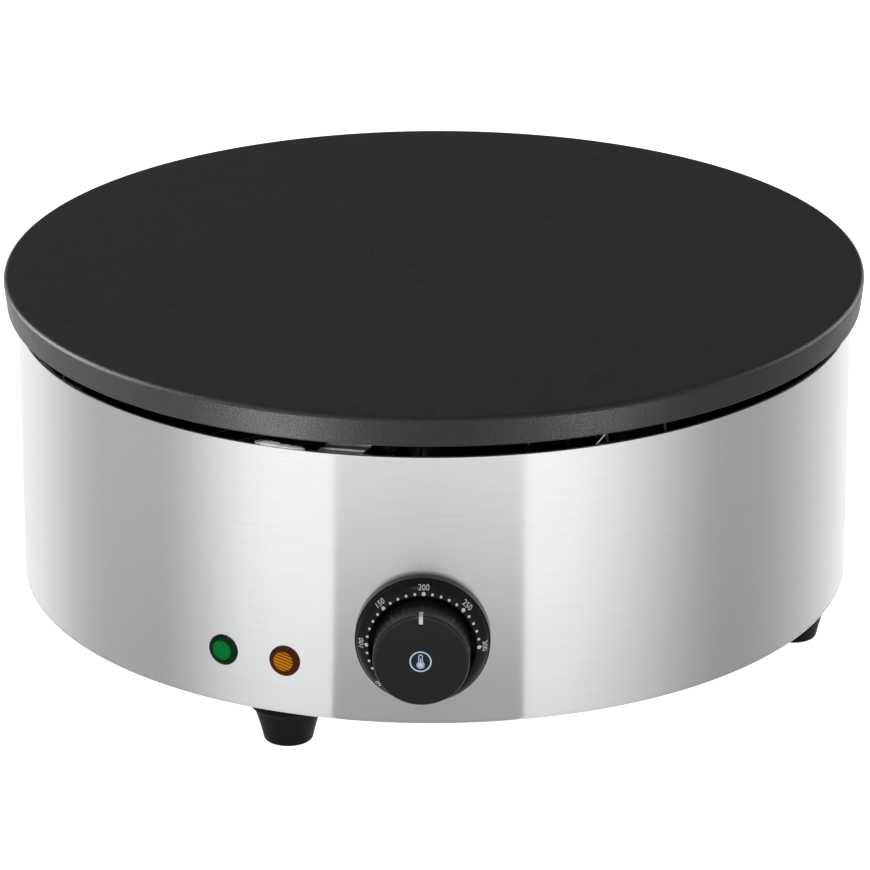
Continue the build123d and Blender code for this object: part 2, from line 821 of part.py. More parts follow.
with BuildPart() as control_knob:
    add(knob_body.part)
    # Hollow back, with a hub for the shaft held by ribs.
    with BuildSketch(wall_plane(0, knob_height, knob_back_reach)):
        Circle(knob_back_radius - knob_wall)
        Circle(hub_radius, mode=Mode.SUBTRACT)
        Rectangle(2 * knob_radius, 1.4, mode=Mode.SUBTRACT)
        Rectangle(1.4, 2 * knob_radius, mode=Mode.SUBTRACT)
    extrude(amount=hub_bore_reach - knob_back_reach, mode=Mode.SUBTRACT)
    with BuildSketch(wall_plane(0, knob_height, knob_back_reach)):
        Circle(hub_radius + 4)
    extrude(amount=hub_back_reach - knob_back_reach, mode=Mode.SUBTRACT)
    with BuildSketch(wall_plane(0, knob_height, hub_back_reach)):
        Circle(shaft_radius)
        with Locations((0, 2 * shaft_radius - shaft_flat)):
            Rectangle(4 * shaft_radius, 2 * shaft_radius, mode=Mode.SUBTRACT)
    extrude(amount=hub_bore_reach - hub_back_reach, mode=Mode.SUBTRACT)
    add(pointer_inlay.part, mode=Mode.SUBTRACT)

control_knob.part.label = "control_knob"
export_step(control_knob.part, "parts/control_knob.step")

# ---------------------------------------------------------------- thermostat
frame_depth = 3.0
frame_half_height = 24.0
frame_width = 24.0
body_width = 44.0
body_height = 27.0
body_depth = 30.0
body_front = -inner_wall + frame_depth
shaft_tail_reach = -20.0
shaft_tip_reach = 21.5

with BuildPart() as thermostat_frame:
    with BuildSketch(Plane.XY.offset(knob_height - frame_half_height)):
        Circle(inner_wall)
        with Locations((0, body_front - frame_depth / 2)):
            Rectangle(frame_width, frame_depth, mode=Mode.INTERSECT)
    extrude(amount=2 * frame_half_height)
    with BuildSketch(wall_plane(0, knob_height, -sheet)):
        Circle(bush_radius)
        with GridLocations(1, panel_screw_spacing, 1, 2):
            Circle(2.0)
    extrude(amount=-frame_depth, mode=Mode.SUBTRACT)

thermostat_frame.part.label = "thermostat_frame"
export_step(thermostat_frame.part, "parts/thermostat_frame.step")

with BuildPart() as thermostat_body:
    with BuildSketch(Plane.XZ.offset(-body_front)):
        with Locations((0, knob_height)):
            RectangleRounded(body_width, body_height, 4.0)
    extrude(amount=-body_depth)
    with BuildSketch(wall_plane(0, knob_height, 2.0)):
        Circle(bush_radius)
    extrude(amount=-(sheet + frame_depth + 2.0))
    with BuildSketch(wall_plane(0, knob_height, 2.0)):
        Circle(shaft_radius + shaft_clearance)
    extrude(amount=shaft_tail_reach - 1.0 - 2.0, mode=Mode.SUBTRACT)

thermostat_body.part.label = "thermostat_body"
export_step(thermostat_body.part, "parts/thermostat_body.step")

with BuildPart() as thermostat_terminals:
    with BuildSketch(Plane.XZ.offset(-(body_front + body_depth))):
        with Locations((0, knob_height)):
            with GridLocations(13.0, 1, 3, 1):
                Rectangle(0.8, 6.3)
    extrude(amount=-9.0)

thermostat_terminals.part.label = "thermostat_terminals"
export_step(thermostat_terminals.part, "parts/thermostat_terminals.step")

with BuildPart() as thermostat_shaft:
    with BuildSketch(wall_plane(0, knob_height, shaft_tail_reach)):
        Circle(shaft_radius)
    extrude(amount=shaft_tip_reach - shaft_tail_reach)
    with BuildSketch(wall_plane(0, knob_height, bezel_floor + 1.0)):
        with Locations((0, 2 * shaft_radius - shaft_flat)):
            Rectangle(4 * shaft_radius, 2 * shaft_radius)
    extrude(amount=shaft_tip_reach, mode=Mode.SUBTRACT)

thermostat_shaft.part.label = "thermostat_shaft"
export_step(thermostat_shaft.part, "parts/thermostat_shaft.step")

with BuildPart() as thermostat_screws:
    for side in (-1, 1):
        screw_height = knob_height + side * panel_screw_spacing / 2
        with BuildSketch(turning_plane(0, screw_height)):
            with BuildLine():
                Polyline(
                    (0, bezel_floor - 0.1),
                    (3.7, bezel_floor - 0.1),
                    (2.0, bezel_floor - 1.8),
                    (2.0, -sheet - frame_depth),
                    (0, -sheet - frame_depth),
                    (0, bezel_floor - 0.1),
                )
            make_face()
        revolve(axis=turning_axis(0, screw_height))

thermostat_screws.part.label = "thermostat_screws"
export_step(thermostat_screws.part, "parts/thermostat_screws.step")

# ---------------------------------------------------------------- capillary and bulb
capillary_start = Vector(14.0, body_front + 12.0, knob_height + body_height / 2)

with BuildPart() as capillary_tube:
    with BuildLine() as capillary_path:
        FilletPolyline(
            capillary_start,
            capillary_start + Vector(0, 0, 22),
            (capillary_spot.X + 6, capillary_spot.Y - 22, 112.0),
            (capillary_spot.X, capillary_spot.Y, 122.0),
            (capillary_spot.X, capillary_spot.Y, bulb_height),
            bulb_foot,
            radius=[10.0, 8.0, 8.0, capillary_bend - 0.2],
        )
    with BuildSketch(Plane(origin=capillary_path.line @ 0, z_dir=capillary_path.line % 0)):
        Circle(capillary_radius)
    sweep(path=capillary_path.line)

capillary_tube.part.label = "capillary_tube"
export_step(capillary_tube.part, "parts/capillary_tube.step")

with BuildPart() as sensor_bulb:
    with BuildSketch(Plane(origin=bulb_foot, z_dir=across(bulb_bearing))):
        Circle(bulb_radius)
    extrude(amount=2 * bulb_half_length)
    chamfer(sensor_bulb.edges().filter_by(GeomType.CIRCLE), 1.0)

sensor_bulb.part.label = "sensor_bulb"
export_step(sensor_bulb.part, "parts/sensor_bulb.step")

clip_sheet = 0.8
clip_spread = 10.0
clip_screw_offset = 7.5

clip_middles = [
    bulb_middle + across(bulb_bearing) * (side * 0.55 * bulb_half_length) for side in (-1, 1)
]
clip_screw_spots = [
    Vector(middle.X, middle.Y, 0) - outward(bulb_bearing) * clip_screw_offset
    for middle in clip_middles
]
clip_bend = bulb_radius + clip_sheet / 2
clip_foot = plate_underside - clip_sheet / 2 - bulb_height

with BuildPart() as bulb_clips:
    for middle in clip_middles:
        clip_plane = Plane(
            origin=middle + across(bulb_bearing) * (clip_spread / 2),
            x_dir=outward(bulb_bearing),
            z_dir=-across(bulb_bearing),
        )
        with BuildSketch(clip_plane):
            with BuildLine() as clip_line:
                Polyline((-11.0, clip_foot), (-clip_bend, clip_foot), (-clip_bend, 0))
                ThreePointArc((-clip_bend, 0), (0, -clip_bend), (clip_bend, 0))
                Line((clip_bend, 0), (clip_bend, clip_foot))
            trace(clip_line.line, line_width=clip_sheet)
        extrude(amount=clip_spread)
    with BuildSketch(Plane.XY.offset(plate_underside - 2.0)):
        with Locations(*clip_screw_spots):
            Circle(1.5)
    extrude(amount=4, mode=Mode.SUBTRACT)

bulb_clips.part.label = "bulb_clips"
export_step(bulb_clips.part, "parts/bulb_clips.step")

clip_screws = headed_screws(
    clip_screw_spots, 2.6, 1.5, 1.5, plate_underside - clip_sheet - 1.5, clip_sheet
)
clip_screws.part.label = "clip_screws"
export_step(clip_screws.part, "parts/clip_screws.step")

# ---------------------------------------------------------------- over-heat cut-out
cutout_bearing = -62.0
cutout_circle = 104.0

with BuildPart() as thermal_cutout:
    with BuildSketch(level_plane(cutout_bearing, shield_bottom - 0.8, cutout_circle)):
        SlotOverall(34.0, 14.0)
        with GridLocations(24.0, 1, 2, 1):
            Circle(1.6, mode=Mode.SUBTRACT)
    extrude(amount=0.8)
    with BuildSketch(level_plane(cutout_bearing, shield_bottom - 10.0, cutout_circle)):
        Circle(8.0)
    extrude(amount=9.2)
    with BuildSketch(level_plane(cutout_bearing, shield_bottom - 18.0, cutout_circle)):
        with GridLocations(1, 8.0, 1, 2):
            Rectangle(6.3, 0.8)
    extrude(amount=8.0)

thermal_cutout.part.label = "thermal_cutout"
export_step(thermal_cutout.part, "parts/thermal_cutout.step")

# ---------------------------------------------------------------- indicator lamps
lens_window_radius = 4.6
lens_edge_reach = 0.5
lens_rim_reach = 1.6
lens_window_reach = 1.1
rib_pitch = 1.45
rib_width = 0.5
rib_depth = 0.35
lamp_body_radius = 6.0
lens_barrel_depth = 9.0
lamp_body_depth = 15.0


def turned_lens(bearing, rib_tilt, crossed):
    """Domed lamp lens with a ribbed window and a barrel that goes through the wall."""
    with BuildPart() as lens:
        with BuildSketch(turning_plane(bearing, lamp_height)):
            with BuildLine():
                Polyline(
                    (0, lens_window_reach),
                    (0, -lens_barrel_depth),
                    (lamp_barrel_radius, -lens_barrel_depth),
                    (lamp_barrel_radius, 0),
                    (lamp_radius, 0),
                    (lamp_radius, lens_edge_reach),
                )
                ThreePointArc(
                    (lamp_radius, lens_edge_reach),
                    (lamp_radius - 0.7, lens_edge_reach + 0.75),
                    (lens_window_radius + 0.6, lens_rim_reach),
                )
                Polyline(
                    (lens_window_radius + 0.6, lens_rim_reach),
                    (lens_window_radius, lens_window_reach),
                    (0, lens_window_reach),
                )
            make_face()
        revolve(axis=turning_axis(bearing, lamp_height))
        # Fine grooves pressed into the window; those of the green lens cross.
        tilts = (rib_tilt, rib_tilt + 90) if crossed else (rib_tilt,)
        for tilt in tilts:
            with BuildSketch(wall_plane(bearing, lamp_height, lens_window_reach)):
                with Locations(Location((0, 0), tilt)):
                    with GridLocations(1, rib_pitch, 1, 6):
                        Rectangle(2 * lens_window_radius, rib_width)
                Circle(lens_window_radius - 0.2, mode=Mode.INTERSECT)
            extrude(amount=-rib_depth, mode=Mode.SUBTRACT)
    return lens


green_lamp_lens = turned_lens(green_lamp_bearing, 40.0, True)
green_lamp_lens.part.label = "green_lamp_lens"
export_step(green_lamp_lens.part, "parts/green_lamp_lens.step")

amber_lamp_lens = turned_lens(amber_lamp_bearing, -15.0, False)
amber_lamp_lens.part.label = "amber_lamp_lens"
export_step(amber_lamp_lens.part, "parts/amber_lamp_lens.step")

lamp_bearings = (green_lamp_bearing, amber_lamp_bearing)

with BuildPart() as lamp_bodies:
    for bearing in lamp_bearings:
        with BuildSketch(wall_plane(bearing, lamp_height, -lens_barrel_depth)):
            Circle(lamp_body_radius)
        extrude(amount=-lamp_body_depth)
        with BuildSketch(wall_plane(bearing, lamp_height, -lens_barrel_depth - lamp_body_depth)):
            with GridLocations(6.0, 1, 2, 1):
                Rectangle(0.8, 4.8)
        extrude(amount=-7.0)

lamp_bodies.part.label = "lamp_bodies"
export_step(lamp_bodies.part, "parts/lamp_bodies.step")

with BuildPart() as lamp_retainers:
    for bearing in lamp_bearings:
        with BuildSketch(turning_plane(bearing, lamp_height)):
            with BuildLine():
                Polyline(
                    (lamp_barrel_radius, -3.0),
                    (9.5, -1.3),
                    (9.5, -1.8),
                    (lamp_barrel_radius, -3.6),
                    (lamp_barrel_radius, -3.0),
                )
            make_face()
        revolve(axis=turning_axis(bearing, lamp_height))

lamp_retainers.part.label = "lamp_retainers"
export_step(lamp_retainers.part, "parts/lamp_retainers.step")

# ---------------------------------------------------------------- cable gland
gland_flats = 24.0
gland_flange = 6.0
cap_hex_end = 13.0
cap_end = 26.0

with BuildPart() as gland_body:
    with BuildSketch(wall_plane(gland_bearing, gland_height, -3.0)):
        RegularPolygon(gland_flats / 2, 6, major_radius=False)
    extrude(amount=gland_flange + 3.0)
    with BuildSketch(Plane.XY.offset(gland_height - gland_flats)):
        Circle(drum_radius)
    extrude(amount=2 * gland_flats, mode=Mode.SUBTRACT)
    with BuildSketch(wall_plane(gland_bearing, gland_height, -14.0)):
        Circle(gland_thread_radius)
    extrude(amount=gland_flange + 14.0)
    with BuildSketch(wall_plane(gland_bearing, gland_height, gland_flange)):
        Circle(gland_thread_radius)
    extrude(amount=5.0)
    with BuildSketch(wall_plane(gland_bearing, gland_height, -14.0)):
        Circle(7.0)
    extrude(amount=gland_flange + 5.0 + 14.0, mode=Mode.SUBTRACT)

gland_body.part.label = "gland_body"
export_step(gland_body.part, "parts/gland_body.step")

with BuildPart() as gland_seal:
    with BuildSketch(wall_plane(gland_bearing, gland_height, 1.0)):
        Circle(7.0)
        Circle(gland_bore, mode=Mode.SUBTRACT)
    extrude(amount=cap_end - 4.0 - 1.0)

gland_seal.part.label = "gland_seal"
export_step(gland_seal.part, "parts/gland_seal.step")

with BuildPart() as gland_cap_nut:
    with BuildSketch(wall_plane(gland_bearing, gland_height, gland_flange)):
        RegularPolygon(gland_flats / 2, 6, major_radius=False)
    extrude(amount=cap_hex_end - gland_flange)
    with BuildSketch(turning_plane(gland_bearing, gland_height)):
        with BuildLine():
            Polyline(
                (0, cap_hex_end), (11.4, cap_hex_end), (11.4, cap_hex_end + 4.0)
            )
            ThreePointArc(
                (11.4, cap_hex_end + 4.0), (10.2, cap_end - 3.0), (7.2, cap_end)
            )
            Polyline((7.2, cap_end), (0, cap_end), (0, cap_hex_end))
        make_face()
    revolve(axis=turning_axis(gland_bearing, gland_height))
    with BuildSketch(turning_plane(gland_bearing, gland_height)):
        with BuildLine():
            Polyline(
                (0, gland_flange),
                (gland_thread_radius, gland_flange),
                (gland_thread_radius, gland_flange + 5.0),
                (7.0, gland_flange + 5.0),
                (7.0, cap_end - 4.0),
                (5.6, cap_end - 4.0),
                (5.6, cap_end),
                (0, cap_end),
                (0, gland_flange),
            )
        make_face()
    revolve(axis=turning_axis(gland_bearing, gland_height), mode=Mode.SUBTRACT)

gland_cap_nut.part.label = "gland_cap_nut"
export_step(gland_cap_nut.part, "parts/gland_cap_nut.step")

with BuildPart() as gland_lock_nut:
    with BuildSketch(wall_plane(gland_bearing, gland_height, -sheet - 0.6)):
        RegularPolygon(13.0, 6, major_radius=False)
        Circle(gland_thread_radius, mode=Mode.SUBTRACT)
    extrude(amount=-4.5)

gland_lock_nut.part.label = "gland_lock_nut"
export_step(gland_lock_nut.part, "parts/gland_lock_nut.step")

# ---------------------------------------------------------------- terminal block, earth
block_centre = (0.0, 128.0)
block_length = 34.0
block_width = 20.0
block_height = 15.0
block_pitch = 11.0
earth_spot = (44.0, 128.0)

with BuildPart() as terminal_block:
    with BuildSketch(Plane.XY.offset(field_top)):
        with Locations(block_centre):
            Rectangle(block_length, block_width)
    extrude(amount=0.6 * block_height)
    with BuildSketch(Plane.XY.offset(field_top + 0.6 * block_height)):
        with Locations(block_centre):
            with GridLocations(block_pitch, 1, 3, 1):
                Rectangle(block_pitch - 2.0, block_width - 4.0)
    extrude(amount=0.4 * block_height)
    with BuildSketch(Plane.XZ.offset(-(block_centre[1] - block_width / 2))):
        with Locations((0, field_top + 0.45 * block_height)):
            with GridLocations(block_pitch, 1, 3, 1):
                Circle(2.2)
    extrude(amount=-block_width, mode=Mode.SUBTRACT)
    with BuildSketch(Plane.XY.offset(field_top + 0.45 * block_height)):
        with Locations(block_centre):
            with GridLocations(block_pitch, 10.0, 3, 2):
                Circle(2.0)
    extrude(amount=block_height, mode=Mode.SUBTRACT)

terminal_block.part.label = "terminal_block"
export_step(terminal_block.part, "parts/terminal_block.step")

block_screw_spots = [
    (column * block_pitch, block_centre[1] + row * 5.0) for column in (-1, 0, 1) for row in (-1, 1)
]
block_screws = rods(block_screw_spots, 2.0, field_top + 0.6 * block_height, 3.0)
block_screws.part.label = "block_screws"
export_step(block_screws.part, "parts/block_screws.step")

earth_stud = rods([earth_spot], 2.5, field_top, 16.0)
earth_stud.part.label = "earth_stud"
export_step(earth_stud.part, "parts/earth_stud.step")

earth_nuts = hex_nuts([earth_spot], 8.0, 2.5, [field_top, field_top + 6.0], 4.0)
earth_nuts.part.label = "earth_nuts"
export_step(earth_nuts.part, "parts/earth_nuts.step")

# ---------------------------------------------------------------- internal leads
sleeve_radius = 2.2
wire_radius = 1.4
terminal_back = body_front + body_depth + 9.0


def lead(points, bends, radius):
    """Insulated lead along straight runs joined by tangent arcs."""
    with BuildPart() as tube:
        with BuildLine() as route:
            FilletPolyline(*points, radius=bends)
        with BuildSketch(Plane(origin=route.line @ 0, z_dir=route.line % 0)):
            Circle(radius)
        sweep(path=route.line)
    return tube.part


def below_pin(index):
    """Point at the lower end of a terminal pin."""
    return Vector(cold_spots[index][0], cold_spots[index][1], pin_bottom)


loop_top = drum_top - 5.4
loop_left = spot(183.0, -24.5, 0)
loop_right = spot(183.0, -16.5, 0)
outer_lead = lead(
    [
        below_pin(0),
        below_pin(0) - Vector(0, 0, 14),
        Vector(loop_left.X, loop_left.Y, pin_bottom + 4),
        Vector(loop_left.X, loop_left.Y, loop_top),
        Vector(loop_right.X, loop_right.Y, loop_top),
        Vector(loop_right.X, loop_right.Y, 100.0),
        Vector(-13.0, terminal_back + 14, 84.0),
        Vector(-13.0, terminal_back + 14, knob_height),
        Vector(-13.0, terminal_back, knob_height),
    ],
    [6.0, 6.0, 9.5, 9.5, 9.0, 8.0, 7.0],
    sleeve_radius,
)
inner_lead = lead(
    [
        below_pin(1),
        below_pin(1) - Vector(0, 0, 16),
        Vector(-30.0, -60.0, 60.0),
        Vector(0.0, 60.0, 40.0),
        Vector(-block_pitch, 96.0, field_top + 0.45 * block_height),
        Vector(-block_pitch, block_centre[1] - block_width / 2, field_top + 0.45 * block_height),
    ],
    [8.0, 30.0, 30.0, 8.0],
    sleeve_radius,
)
element_leads = Compound(children=[outer_lead, inner_lead])
element_leads.label = "element_leads"
export_step(element_leads, "parts/element_leads.step")

supply_leads = Compound(
    children=[
        lead(
            [
                Vector(offset_x, terminal_back, knob_height),
                Vector(offset_x, terminal_back + 12, knob_height),
                Vector(offset_x, terminal_back + 20, low_run),
                Vector(offset_x, 60.0, low_run),
                Vector(target_x, 98.0, field_top + 0.45 * block_height),
                Vector(
                    target_x, block_centre[1] - block_width / 2, field_top + 0.45 * block_height
                ),
            ],
            [6.0, 8.0, 30.0, 8.0],
            wire_radius,
        )
        for offset_x, target_x, low_run in ((0.0, 0.0, 30.0), (13.0, block_pitch, 31.0))
    ]
)
supply_leads.label = "supply_leads"
export_step(supply_leads, "parts/supply_leads.step")


def lamp_tail(bearing, side):
    """Point on the end of a lamp's terminal blade."""
    back = spot(drum_radius - lens_barrel_depth - lamp_body_depth - 7.0, bearing, lamp_height)
    return back + across(bearing) * (3.0 * side)


lamp_leads = Compound(
    children=[
        lead(
            [
                lamp_tail(green_lamp_bearing, side),
                lamp_tail(green_lamp_bearing, side) - outward(green_lamp_bearing) * 12,
                lamp_tail(amber_lamp_bearing, side) - outward(amber_lamp_bearing) * 14,
                lamp_tail(amber_lamp_bearing, side),
            ],
            [5.0, 5.0],
            wire_radius * 0.7,
        )
        for side in (-1, 1)
    ]
)
lamp_leads.label = "lamp_leads"
export_step(lamp_leads, "parts/lamp_leads.step")
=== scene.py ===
"""Looks of an electric crepe maker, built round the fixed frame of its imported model.

The frame's own pieces keep their shape and get their finishes here. Printed marks, screw
heads, loose fibres and other fine pieces are modelled in place, in metres, on top of them.
"""

import math
import random

import bmesh
import bpy
from bpy.props import FloatProperty, FloatVectorProperty, IntProperty, PointerProperty
from mathutils import Matrix, Vector
from mathutils.bvhtree import BVHTree


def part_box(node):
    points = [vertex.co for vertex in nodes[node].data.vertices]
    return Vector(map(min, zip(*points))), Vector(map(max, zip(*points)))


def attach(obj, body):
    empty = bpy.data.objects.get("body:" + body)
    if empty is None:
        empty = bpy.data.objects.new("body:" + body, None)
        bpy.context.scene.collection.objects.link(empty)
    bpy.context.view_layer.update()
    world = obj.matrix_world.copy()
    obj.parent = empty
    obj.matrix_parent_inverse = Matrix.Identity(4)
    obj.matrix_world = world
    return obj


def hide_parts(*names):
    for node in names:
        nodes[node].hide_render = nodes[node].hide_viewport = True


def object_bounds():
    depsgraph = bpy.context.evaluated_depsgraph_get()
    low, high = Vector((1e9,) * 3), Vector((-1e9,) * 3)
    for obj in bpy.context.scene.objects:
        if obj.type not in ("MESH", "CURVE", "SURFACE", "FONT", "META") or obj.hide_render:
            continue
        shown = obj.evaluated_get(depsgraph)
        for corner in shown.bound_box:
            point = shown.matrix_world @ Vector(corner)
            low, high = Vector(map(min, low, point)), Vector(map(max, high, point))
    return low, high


bl_info = {
    "name": "Crepe Maker Looks",
    "version": (1, 0, 0),
    "blender": (4, 5, 0),
    "location": "3D Viewport > Sidebar > Crepe Maker",
    "description": "Finishes, printed marks and studio for an electric crepe maker",
    "category": "Object",
}

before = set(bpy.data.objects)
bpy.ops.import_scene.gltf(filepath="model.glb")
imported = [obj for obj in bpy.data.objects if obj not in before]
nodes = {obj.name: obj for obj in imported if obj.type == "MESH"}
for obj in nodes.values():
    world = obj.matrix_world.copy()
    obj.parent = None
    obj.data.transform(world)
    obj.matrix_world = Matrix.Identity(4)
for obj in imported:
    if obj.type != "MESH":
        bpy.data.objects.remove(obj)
CAD_LOW, CAD_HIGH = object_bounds()
MM = 0.001


# ------------------------------------------------------------------ places
def middle(node):
    """Centre of a CAD node's box."""
    low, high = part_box(node)
    return (low + high) / 2


def bearing_of(place):
    """Angle about the upright axis from -Y, towards +X, in radians."""
    return math.atan2(place.x, -place.y)


def round_axis(reach, bearing, height):
    """Place at a distance from the upright axis, at a bearing as above and a height."""
    return Vector((reach * math.sin(bearing), -reach * math.cos(bearing), height))


DRUM_LOW, DRUM_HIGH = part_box("housing_drum")
SCREW_LOW, SCREW_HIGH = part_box("base_screws")
SHEET = 1.0 * MM
DRUM_RADIUS = DRUM_HIGH.x
DRUM_INNER_RADIUS = DRUM_RADIUS - SHEET
PLATE_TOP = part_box("cooking_plate")[1].z
PLATE_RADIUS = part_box("cooking_plate")[1].x
KNOB_AXIS = Vector((0, 0, middle("control_knob").z))
# Turns a flat drawing in XY to face -Y on the knob's axis, with its Y pointing up.
TO_FRONT = Matrix.Translation(KNOB_AXIS) @ Matrix.Rotation(math.pi / 2, 4, "X")


# ------------------------------------------------------------------ colours
def linear(hex_colour):
    """Turn an sRGB hex colour into linear red, green, blue and alpha."""
    channels = [int(hex_colour[i : i + 2], 16) / 255 for i in (1, 3, 5)]
    return (*[c / 12.92 if c <= 0.04045 else ((c + 0.055) / 1.055) ** 2.4 for c in channels], 1.0)


def shaded(colour, share):
    """A colour made darker, or lighter, by a share."""
    return (*[c * share for c in colour[:3]], 1.0)


STEEL = "#CCCCCD"
# The drum's inner face is painted near black as shade.
STEEL_INSIDE_PAINTED_SHADE = "#161514"
PLATE_COAT = "#0F0F0F"
PLATE_GRIT = "#252525"
MOULDING = "#0E0E0F"
INK = "#B7BABC"
POINTER = "#B3B7BB"
SIGN = "#A3B8C8"
RUBBER = "#060606"
# Lens cores are painted bright as light from their reflectors; lens rims are painted dark as shade.
GREEN_CORE = "#007430"
GREEN_RIM = "#00210F"
AMBER_CORE = "#A5640C"
AMBER_RIM = "#361905"


# ------------------------------------------------------------------ what a user may change
def tint(name, description, hex_colour):
    """Colour property whose default is an sRGB hex colour."""
    return FloatVectorProperty(
        name=name, description=description, subtype="COLOR", size=4, default=linear(hex_colour)
    )


def length(name, description, default):
    """Length property, in metres."""
    return FloatProperty(name=name, description=description, default=default, unit="LENGTH")


def swing(name, description, degrees):
    """Angle property whose default is given in degrees."""
    default = math.radians(degrees)
    return FloatProperty(name=name, description=description, default=default, subtype="ANGLE")


def factor(name, description, default, least=0.0):
    """Plain number that doesn't go below its least value."""
    return FloatProperty(name=name, description=description, default=default, min=least)


class FinishSettings(bpy.types.PropertyGroup):
    """Colours of the outer finishes."""

    steel: tint("Steel", "Colour of the brushed stainless drum", STEEL)
    coat: tint("Plate coat", "Colour of the griddle plate's non-stick coat", PLATE_COAT)
    moulding: tint("Mouldings", "Colour of the knob and its bezel", MOULDING)
    ink: tint("Ink", "Colour of the scale's dots and numbers", INK)


class DialSettings(bpy.types.PropertyGroup):
    """Sizes of the printed scale and of the knob's sign."""

    dot_ring: length("Dot ring", "Radius of the ring of dots round the knob", 24.7 * MM)
    dot_radius: length("Dot radius", "Radius of a dot between two numbers", 0.61 * MM)
    marked_dot: factor("Marked dot", "How much larger a dot beside a number is", 1.45, 1.0)
    dot_step: swing("Dot step", "Angle from one dot to the next, ten degrees Celsius", 9)
    number_ring: length("Number ring", "Radius of the middle of the numbers", 27.15 * MM)
    number_height: length("Number height", "Height of a digit", 2.05 * MM)
    sign_radius: length("Sign radius", "Outer radius of the circle round the thermometer", 4.85 * MM)
    sign_line: length("Sign line", "Width of the sign's lines", 0.60 * MM)
    scale_turn: swing("Scale turn", "How far the whole scale is turned clockwise", 1.0)
    scale_shift: length("Scale shift", "How far right of the knob's axis the scale is set", 0.3 * MM)


class StudioSettings(bpy.types.PropertyGroup):
    """Brightness of the studio's lights."""

    softboxes: factor("Softboxes", "The two softboxes in front", 1.58)
    between: factor("Between", "The wall between the softboxes", 1.27)
    side_left: factor("Side, left", "The unlit wall at the left", 0.70)
    side_right: factor("Side, right", "The unlit wall at the right", 0.57)
    backdrop: factor("Backdrop", "The pale backdrop behind", 1.21)
    screen: factor("Dark screen", "The dark screen behind, which the plate's top mirrors", 0.03)
    table_glow: factor("Table glow", "Light given by the table itself", 0.92)
    overhead: factor("Overhead", "The large diffuser overhead", 0.45)
    plate_left: factor("Plate, left", "Soft light on the plate's wall, front left", 1.0)
    plate_right: factor("Plate, right", "Soft light on the plate's wall, front right", 1.0)
    plate_rear: factor("Plate, rear", "Strip lights behind, that draw the rim's line", 1.0)
    controls: factor("Controls", "Soft light from above on the dial and the lamps", 1.0)
    fibre_seed: IntProperty(
        name="Fibre seed", description="Seed of the loose glass fibres", default=7, min=0
    )


# ------------------------------------------------------------------ node helpers
def add_node(tree, kind, inputs=None, output=0, **settings):
    """Add a node with its settings, set or link its inputs, and give back one of its outputs.

    Inputs go by name or by number. A Map Range takes its value at 0, where it starts and ends
    at 1 and 2, and what it gives there at 3 and 4, or else 0 and 1. A Mix takes its share at 0,
    and what it mixes at 2 and 3 if they are numbers, or at 6 and 7 if they are colours."""
    made = tree.nodes.new(kind)
    for name, value in settings.items():
        setattr(made, name, value)
    for key, value in (inputs or {}).items():
        if isinstance(value, bpy.types.NodeSocket):
            tree.links.new(value, made.inputs[key])
        else:
            made.inputs[key].default_value = value
    return made.outputs[output] if made.outputs else None


def reach_of(tree, place, keep=(1, 1, 0)):
    """Distance from an axis, which is the length of the parts that are kept."""
    flat = add_node(tree, "ShaderNodeVectorMath", {0: place, 1: keep}, operation="MULTIPLY")
    return add_node(tree, "ShaderNodeVectorMath", {0: flat}, "Value", operation="LENGTH")


class Finish:
    """A material in the making, with its node tree, its shader and its Object coordinates."""

    def __init__(self, name, colour, metallic, roughness, **constants):
        """Start a material. Other inputs of the shader go by name, with _ for a space."""
        self.material = bpy.data.materials.new(name)
        self.material.use_nodes = True
        self.tree = self.material.node_tree
        self.shader = self.tree.nodes["Principled BSDF"]
        constants.update(Base_Color=colour, Metallic=metallic, Roughness=roughness)
        for socket, value in constants.items():
            self.shader.inputs[socket.replace("_", " ")].default_value = value
        self.place = self.node("ShaderNodeTexCoord", output="Object")

    def node(self, kind, inputs=None, output=0, **settings):
        """Add a node to the material's own tree."""
        return add_node(self.tree, kind, inputs, output, **settings)

    def drive(self, socket, value):
        """Link a value to an input of the shader."""
        self.tree.links.new(value, self.shader.inputs[socket])

    def noise(self, grain, stretch=(1, 1, 1), detail=2.0):
        """Noise whose grain has a real size in metres, stretched along the axes."""
        density = [1 / (grain * s) for s in stretch]
        scaled = self.node(
            "ShaderNodeVectorMath", {0: self.place, 1: density}, operation="MULTIPLY"
        )
        return self.node("ShaderNodeTexNoise", {"Vector": scaled, "Scale": 1.0, "Detail": detail})

    def past_any(self, *limits):
        """Rises from 0 to 1 where any of some values passes from its start to its end."""
        most = None
        for value, start, end in limits:
            part = self.node("ShaderNodeMapRange", {0: value, 1: start, 2: end})
            if most is not None:
                part = self.node("ShaderNodeMath", {0: most, 1: part}, operation="MAXIMUM")
            most = part
        return most

    def roughen(self, pattern, low, high, start=0.0, end=1.0):
        """Let a pattern set the roughness, from low where it starts to high where it ends."""
        spread = {0: pattern, 1: start, 2: end, 3: low, 4: high}
        self.drive("Roughness", self.node("ShaderNodeMapRange", spread))

    def emboss(self, pattern, depth, strength=1.0):
        """Let a pattern raise the surface by a real depth in metres."""
        bump = {"Height": pattern, "Distance": depth, "Strength": strength}
        self.drive("Normal", self.node("ShaderNodeBump", bump))

    def stain(self, pattern, first, second):
        """Let a pattern mix two colours into the base colour."""
        mix = self.node("ShaderNodeMix", {0: pattern, 6: first, 7: second}, 2, data_type="RGBA")
        self.drive("Base Color", mix)


# ------------------------------------------------------------------ mesh helpers
def mesh_object(name, mesh, material, body, slot, *replaced):
    """Link a finished mesh as a piece that rides on a body."""
    piece = bpy.data.objects.new(name, mesh)
    bpy.context.scene.collection.objects.link(piece)
    mesh.materials.clear()
    mesh.materials.append(material)
    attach(piece, body)
    if replaced:
        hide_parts(*replaced)
    return piece


